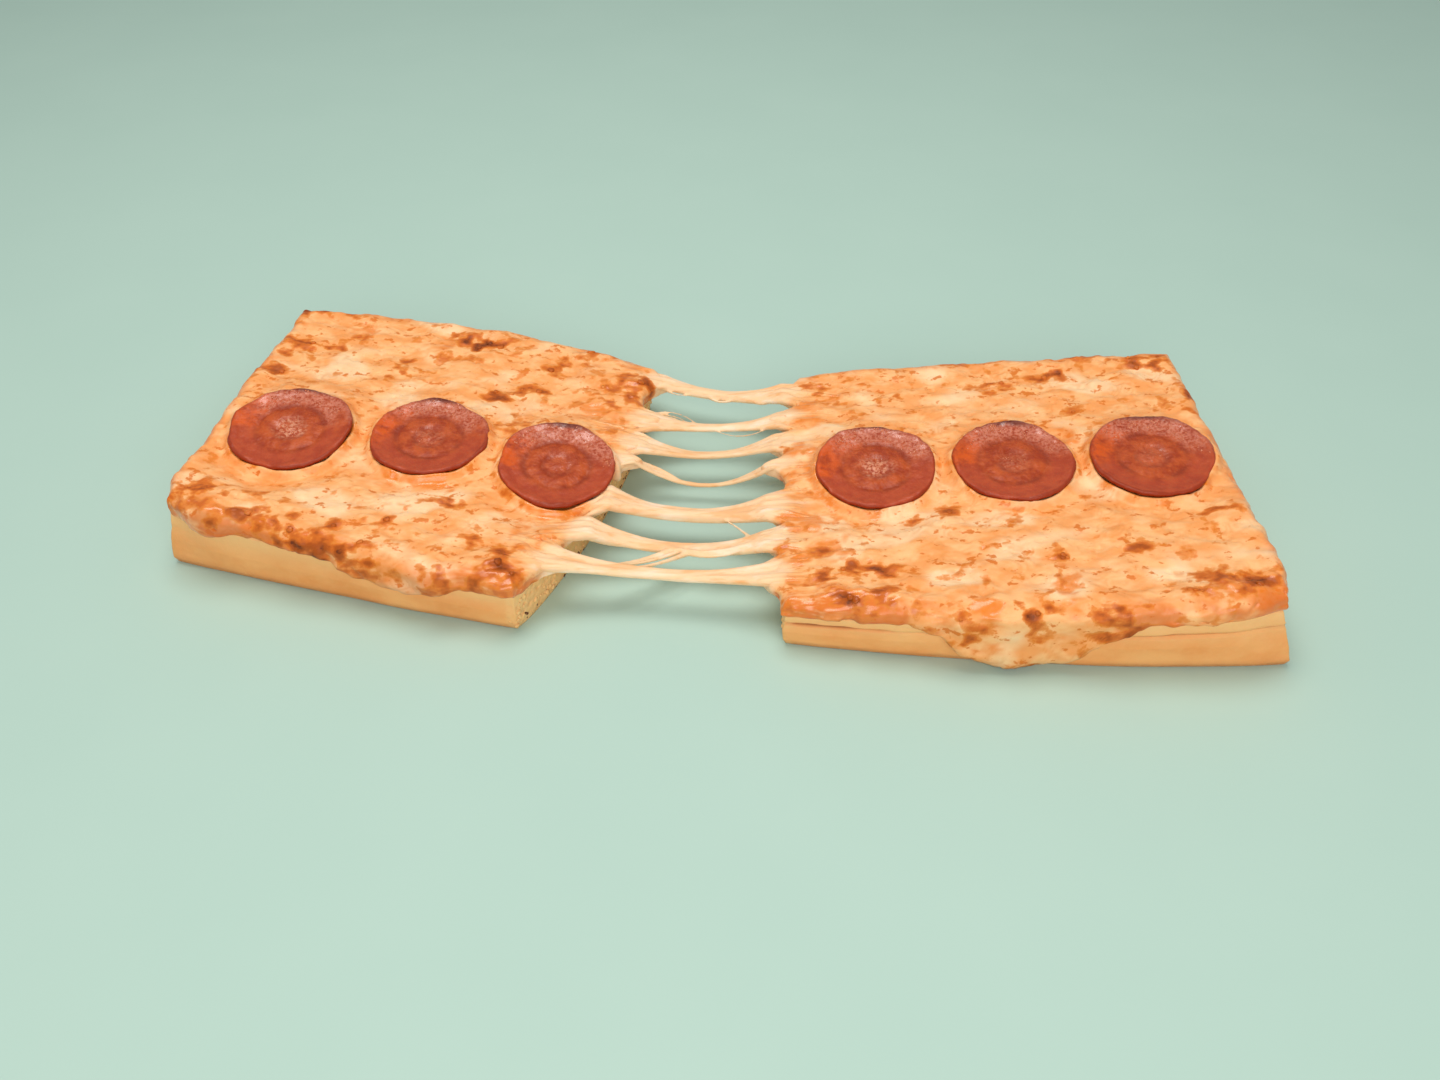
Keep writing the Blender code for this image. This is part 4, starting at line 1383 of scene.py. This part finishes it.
def melted_cheese():
    """Melted cheese: peach, with cream curds and some painted highlights, painted shade at the foot of the
    curd steps, a browned rim partly darkened by painted shade, toasted streaks, orange oil and pale stretched
    strings.
    """
    finish = Finish(
        "melted_cheese",
        Subsurface_Weight=0.12,
        Subsurface_Radius=(1.0, 0.6, 0.3),
        Subsurface_Scale=0.003,
        Specular_IOR_Level=0.28,
        Coat_Roughness=0.16,
    )
    brown, pale, oil, wall = (finish.attribute(name) for name in ("brown", "pale", "oil", "wall"))
    stretch, pulled, fold = (finish.attribute(name) for name in ("stretch", "pulled", "fold"))
    mottle = finish.noise(5.5, 3.0, (1.5, 1.0, 1.0))
    fleck = finish.noise(1.5, 4.0, (1.4, 1.0, 1.0), seed=4.0, roughness=0.6)
    thread = finish.noise(1.1, 3.0, (9.0, 1.0, 1.0), seed=8.0)
    spot = finish.noise(3.2, 3.0, (1.4, 1.0, 1.0), seed=15.0, roughness=0.6)
    milky = finish.noise(4.0, 3.0, (5.0, 1.0, 1.0), seed=23.0)
    broad = finish.noise(9.0, 3.0, (1.4, 1.0, 1.0), seed=19.0)
    colour = finish.blend(mottle.rise(0.38, 0.64), paint(248, 164, 94), paint(255, 190, 128))
    # Cream curds, and painted highlights where the pale patches sit near the front edge
    colour = finish.blend(pale * (0.5 + 0.5 * mottle), colour, paint(255, 218, 172))
    # Painted shade at the foot of each curd step
    colour = finish.blend(fold * broad.rise(0.42, 0.62) * 0.35, colour, paint(226, 136, 56))
    colour = finish.blend(spot.rise(0.59, 0.66) * 0.85 * (1 - stretch), colour, paint(218, 112, 12))
    colour = finish.blend(oil * (0.4 + 0.7 * fleck), colour, paint(238, 126, 12))
    # Orange-brown browning on the rim and wall, partly painted shade towards the bottom of the wall
    colour = finish.blend(wall * broad.rise(0.36, 0.56), colour, paint(224, 104, 4))
    colour = finish.blend(thread.rise(0.48, 0.7) * pulled * (1 - stretch) * 0.6, colour, paint(255, 200, 144))
    colour = finish.blend(stretch.rise(0.3, 1.0) * 0.9, colour, paint(254, 212, 168))
    colour = finish.blend(thread.rise(0.5, 0.75) * stretch * 0.5, colour, paint(240, 166, 98))
    colour = finish.blend(milky.rise(0.52, 0.7) * stretch * 0.7, colour, paint(255, 232, 206))
    colour = finish.blend(milky.rise(0.46, 0.34) * stretch * 0.45, colour, paint(242, 164, 90))
    toast = brown + 0.5 * (fleck - 0.5) * brown.rise(0.05, 0.3) + 0.16 * wall * broad
    steps = (
        (0.20, 0.34, 0.75, (226, 126, 28)),
        (0.32, 0.54, 0.8, (206, 98, 14)),
        (0.52, 0.82, 0.8, (162, 72, 10)),
        (0.86, 1.10, 0.85, (88, 34, 6)),
    )
    colour = in_steps(finish, colour, toast, steps)
    roughness = 0.46 - 0.16 * oil + 0.1 * (fleck - 0.5)
    height = 0.4 * mottle + 0.3 * fleck + 0.4 * thread * pulled + 0.3 * toast
    gloss = (oil + wall * 0.8) * toast.rise(0.85, 0.5) * 0.6
    return finish.finish(colour, roughness, finish.bump(height, 0.35, 0.4), Coat_Weight=gloss)


def baked_bread():
    """Baked dough: golden tan, darker at the foot, with painted shade in the crease and in the crumb's pores,
    and a paler crumb on the torn side.
    """
    depth = {"Subsurface_Radius": (1.0, 0.5, 0.25), "Subsurface_Scale": 0.003}
    finish = Finish("baked_bread", Subsurface_Weight=0.15, **depth)
    height, torn, pores, crease = (finish.attribute(name) for name in ("height", "torn", "pores", "crease"))
    cloud = finish.noise(14.0, 4.0, (1.6, 1.6, 1.0))
    grain = finish.noise(1.8, 5.0, seed=3.0)
    speck = finish.noise(0.7, 2.0, seed=6.0)
    colour = finish.blend(cloud.rise(0.32, 0.68), paint(242, 158, 86), paint(252, 180, 110))
    colour = finish.blend(height.rise(0.4, 1.1) * (1 - crease), colour, paint(255, 198, 132))
    colour = finish.blend(grain.rise(0.45, 0.75) * 0.25, colour, paint(250, 184, 118))
    foot = height.rise(0.26, 0.0)
    colour = finish.blend(foot * (0.3 + 0.5 * grain), colour, paint(188, 108, 60))
    # Painted shade in the crease
    colour = finish.blend(crease * (0.55 + 0.6 * cloud), colour, paint(150, 82, 36))
    colour = finish.blend(torn * 0.7, colour, paint(255, 208, 142))
    # Painted shade in the crumb's pores
    colour = finish.blend(pores * 0.25, colour, paint(222, 146, 80))
    colour = finish.blend(speck.rise(0.62, 0.76) * foot * torn * 0.8, colour, paint(84, 42, 20))
    bumps = grain + 0.5 * speck + 0.8 * cloud
    return finish.finish(colour, 0.66 + 0.12 * grain, finish.bump(bumps, 0.4, 0.4))


def tomato_sauce():
    """Wet tomato sauce with bits of pulp."""
    depth = {"Subsurface_Radius": (1.0, 0.2, 0.1), "Subsurface_Scale": 0.002}
    finish = Finish("tomato_sauce", Subsurface_Weight=0.2, **depth)
    pulp = finish.noise(2.2, 4.0)
    colour = finish.blend(pulp.rise(0.35, 0.7), paint(186, 78, 22), paint(224, 124, 44))
    return finish.finish(colour, 0.26 + 0.2 * pulp, finish.bump(pulp, 0.5, 0.6))


def cured_pepperoni():
    """Cured sausage: brick red and smooth in front, with a painted highlight on the rough back rim and at the
    middle, painted shade in the grooves, painted shadow with char along the back edge, and a thin dark edge.
    """
    finish = Finish(
        "cured_pepperoni",
        Subsurface_Weight=0.12,
        Subsurface_Radius=(1.0, 0.3, 0.15),
        Subsurface_Scale=0.002,
        Coat_Roughness=0.2,
        Specular_IOR_Level=0.3,
    )
    reach, back, glow, front = (finish.attribute(name) for name in ("reach", "back", "glow", "front"))
    charred, side, middle = (finish.attribute(name) for name in ("charred", "side", "middle"))
    local = finish.attribute("disc", output="Vector")
    meat = finish.noise(4.0, 4.0, place=local, unit=1.0, roughness=0.6)
    grain = finish.noise(1.0, 4.0, place=local, unit=1.0, seed=5.0, roughness=0.6)
    sweep = finish.noise(7.0, 2.0, place=local, unit=1.0, seed=9.0)
    rim = reach.rise(0.52, 0.72)
    colour = finish.blend(meat.rise(0.32, 0.68), paint(160, 54, 14), paint(194, 84, 32))
    colour = finish.blend(rim * front * 0.55, colour, paint(180, 70, 42))
    colour = finish.blend(grain.rise(0.6, 0.78) * 0.3, colour, paint(212, 110, 68))
    colour = finish.blend(rim * glow * meat.rise(0.3, 0.6), colour, paint(214, 86, 14))
    # Painted highlight on the rough back rim
    colour = finish.blend(rim * back * grain.rise(0.36, 0.62) * 0.8, colour, paint(216, 132, 106))
    # Painted highlight at the middle
    colour = finish.blend(middle * grain.rise(0.4, 0.62) * 0.8, colour, paint(232, 160, 126))
    # Painted shade along the groove of the outer ring
    ring = reach.rise(0.48, 0.56) * (1 - reach.rise(0.56, 0.66)) * sweep.rise(0.35, 0.6)
    colour = finish.blend(ring * 0.6, colour, paint(138, 48, 22))
    # Painted shade in the groove round the middle dimple
    dimple = reach.rise(0.16, 0.24) * (1 - reach.rise(0.24, 0.34)) * sweep.rise(0.6, 0.4)
    colour = finish.blend(dimple * 0.5, colour, paint(142, 50, 24))
    colour = finish.blend(reach.rise(0.95, 0.99) * (0.3 + 0.6 * front), colour, paint(150, 50, 16))
    colour = finish.blend(side, colour, paint(150, 44, 8))
    # Char and painted shadow along the back edge
    colour = finish.blend(charred * 0.85, colour, paint(88, 22, 12))
    gloss = (0.04 + 0.96 * back * rim + 0.5 * reach.rise(0.4, 0.2)) * meat.rise(0.4, 0.62)
    normal = finish.bump(meat + 0.9 * grain, 0.55, 0.35 + 0.45 * back)
    return finish.finish(colour, 0.46 - 0.1 * meat, normal, Coat_Weight=gloss)


def oil_beads():
    """Beads of orange oil, bright enough to glint."""
    finish = Finish("oil_beads", Specular_IOR_Level=0.6, Coat_Weight=0.8, Coat_Roughness=0.1)
    cloud = finish.noise(2.0, 2.0)
    colour = finish.blend(cloud.rise(0.35, 0.65), paint(188, 80, 34), paint(216, 122, 76))
    return finish.finish(colour, 0.22 + 0.1 * cloud, finish.bump(cloud, 0.1, 0.2))


def charred_flour():
    """Burnt specks of flour and dough."""
    finish = Finish("charred_flour")
    cloud = finish.noise(1.0, 2.0)
    colour = finish.blend(cloud, paint(62, 28, 12), paint(120, 62, 26))
    return finish.finish(colour, 0.7 + 0.1 * cloud, finish.bump(cloud, 0.1, 0.4))


def plain_floor():
    finish = Finish("pale_floor")
    weave = finish.noise(60.0, 3.0)
    colour = finish.blend(weave, paint(178, 207, 195), paint(183, 211, 199))
    return finish.finish(colour, 0.7, finish.bump(weave, 0.1, 0.1))


def dress(piece, material, nodes):
    """Gives a piece its material and its body, and hides the CAD nodes that it stands for."""
    piece.data.materials.clear()
    piece.data.materials.append(material)
    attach(piece, "root")
    if nodes:
        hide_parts(*nodes)


def make_slice():
    cheese, bread, sauce, pepperoni = melted_cheese(), baked_bread(), tomato_sauce(), cured_pepperoni()
    beads, char = oil_beads(), charred_flour()
    lumps = lump_tree()

    def strew(host, name, density, look, material):
        dress(scatter(host, name, density, lumps, **look, Material=material), material, [])

    for half in HALVES:
        melt = make_melt(half)
        dress(melt, cheese, ["cheese"])
        bubbly = smooth(0.35, 0.8, values_of(melt, "brown")) * (values_of(melt, "wall") < 0.5)
        strew(melt, "blisters", bubbly, BLISTERS, cheese)
        base = make_bread(half)
        dress(base, bread, [f"bread_{half.name}"])
        torn, height = values_of(base, "torn"), values_of(base, "height")
        crumbly = torn * smooth(0.05, 0.15, height) * smooth(1.0, 0.9, height)
        strew(base, "crumbs", crumbly, CRUMBS, bread)
        burnt = torn * smooth(0.03, 0.06, height) * smooth(0.3, 0.08, height)
        strew(base, "char", burnt, CHAR, char)
        dress(make_sauce(half), sauce, [f"sauce_{half.name}"])
        for number, spot in enumerate(half.pepperoni, start=1):
            disc = make_pepperoni(half, number, spot)
            dress(disc, pepperoni, [f"pepperoni_{half.name}_{number}"])
            strew(disc, "beads", values_of(disc, "oily"), BEADS | {"Seed": number}, beads)
    dress(make_pull(cheese), cheese, ["cheese"])


def make_floor():
    side = FLOOR_HALF
    corners = [(-side, -side, 0), (side, -side, 0), (side, side, 0), (-side, side, 0)]
    floor = new_piece("floor", corners, [(0, 1, 2, 3)])
    floor.data.materials.append(plain_floor())


def make_light(name, place, size, power, colour):
    """A soft rectangular light at a place in metres, pointed at the slice."""
    lamp = bpy.data.lights.new(name, "AREA")
    lamp.shape = "RECTANGLE"
    lamp.size, lamp.size_y = size
    lamp.energy = power
    lamp.color = colour
    light = bpy.data.objects.new(name, lamp)
    light.location = place
    x, y, z = place
    light.rotation_euler = (math.atan2(math.hypot(x, y), z), 0, math.atan2(x, -y))
    bpy.context.scene.collection.objects.link(light)


def make_camera():
    lens = bpy.data.cameras.new("camera")
    lens.sensor_fit = "HORIZONTAL"
    lens.sensor_width = SENSOR_WIDTH
    lens.lens = FOCAL_LENGTH
    camera = bpy.data.objects.new("camera", lens)
    camera.location = CAMERA_PLACE
    camera.rotation_euler = (math.radians(CAMERA_TILT), 0, 0)
    bpy.context.scene.collection.objects.link(camera)
    bpy.context.scene.camera = camera


def make_studio():
    make_floor()
    for light in LIGHTS:
        make_light(*light)
    world = bpy.data.worlds.new("studio")
    world.use_nodes = True
    sky = world.node_tree.nodes["Background"]
    sky.inputs["Color"].default_value = SKY_COLOUR
    sky.inputs["Strength"].default_value = SKY_STRENGTH
    bpy.context.scene.world = world
    bpy.context.scene.view_settings.view_transform = "Standard"


make_camera()
make_slice()
make_studio()
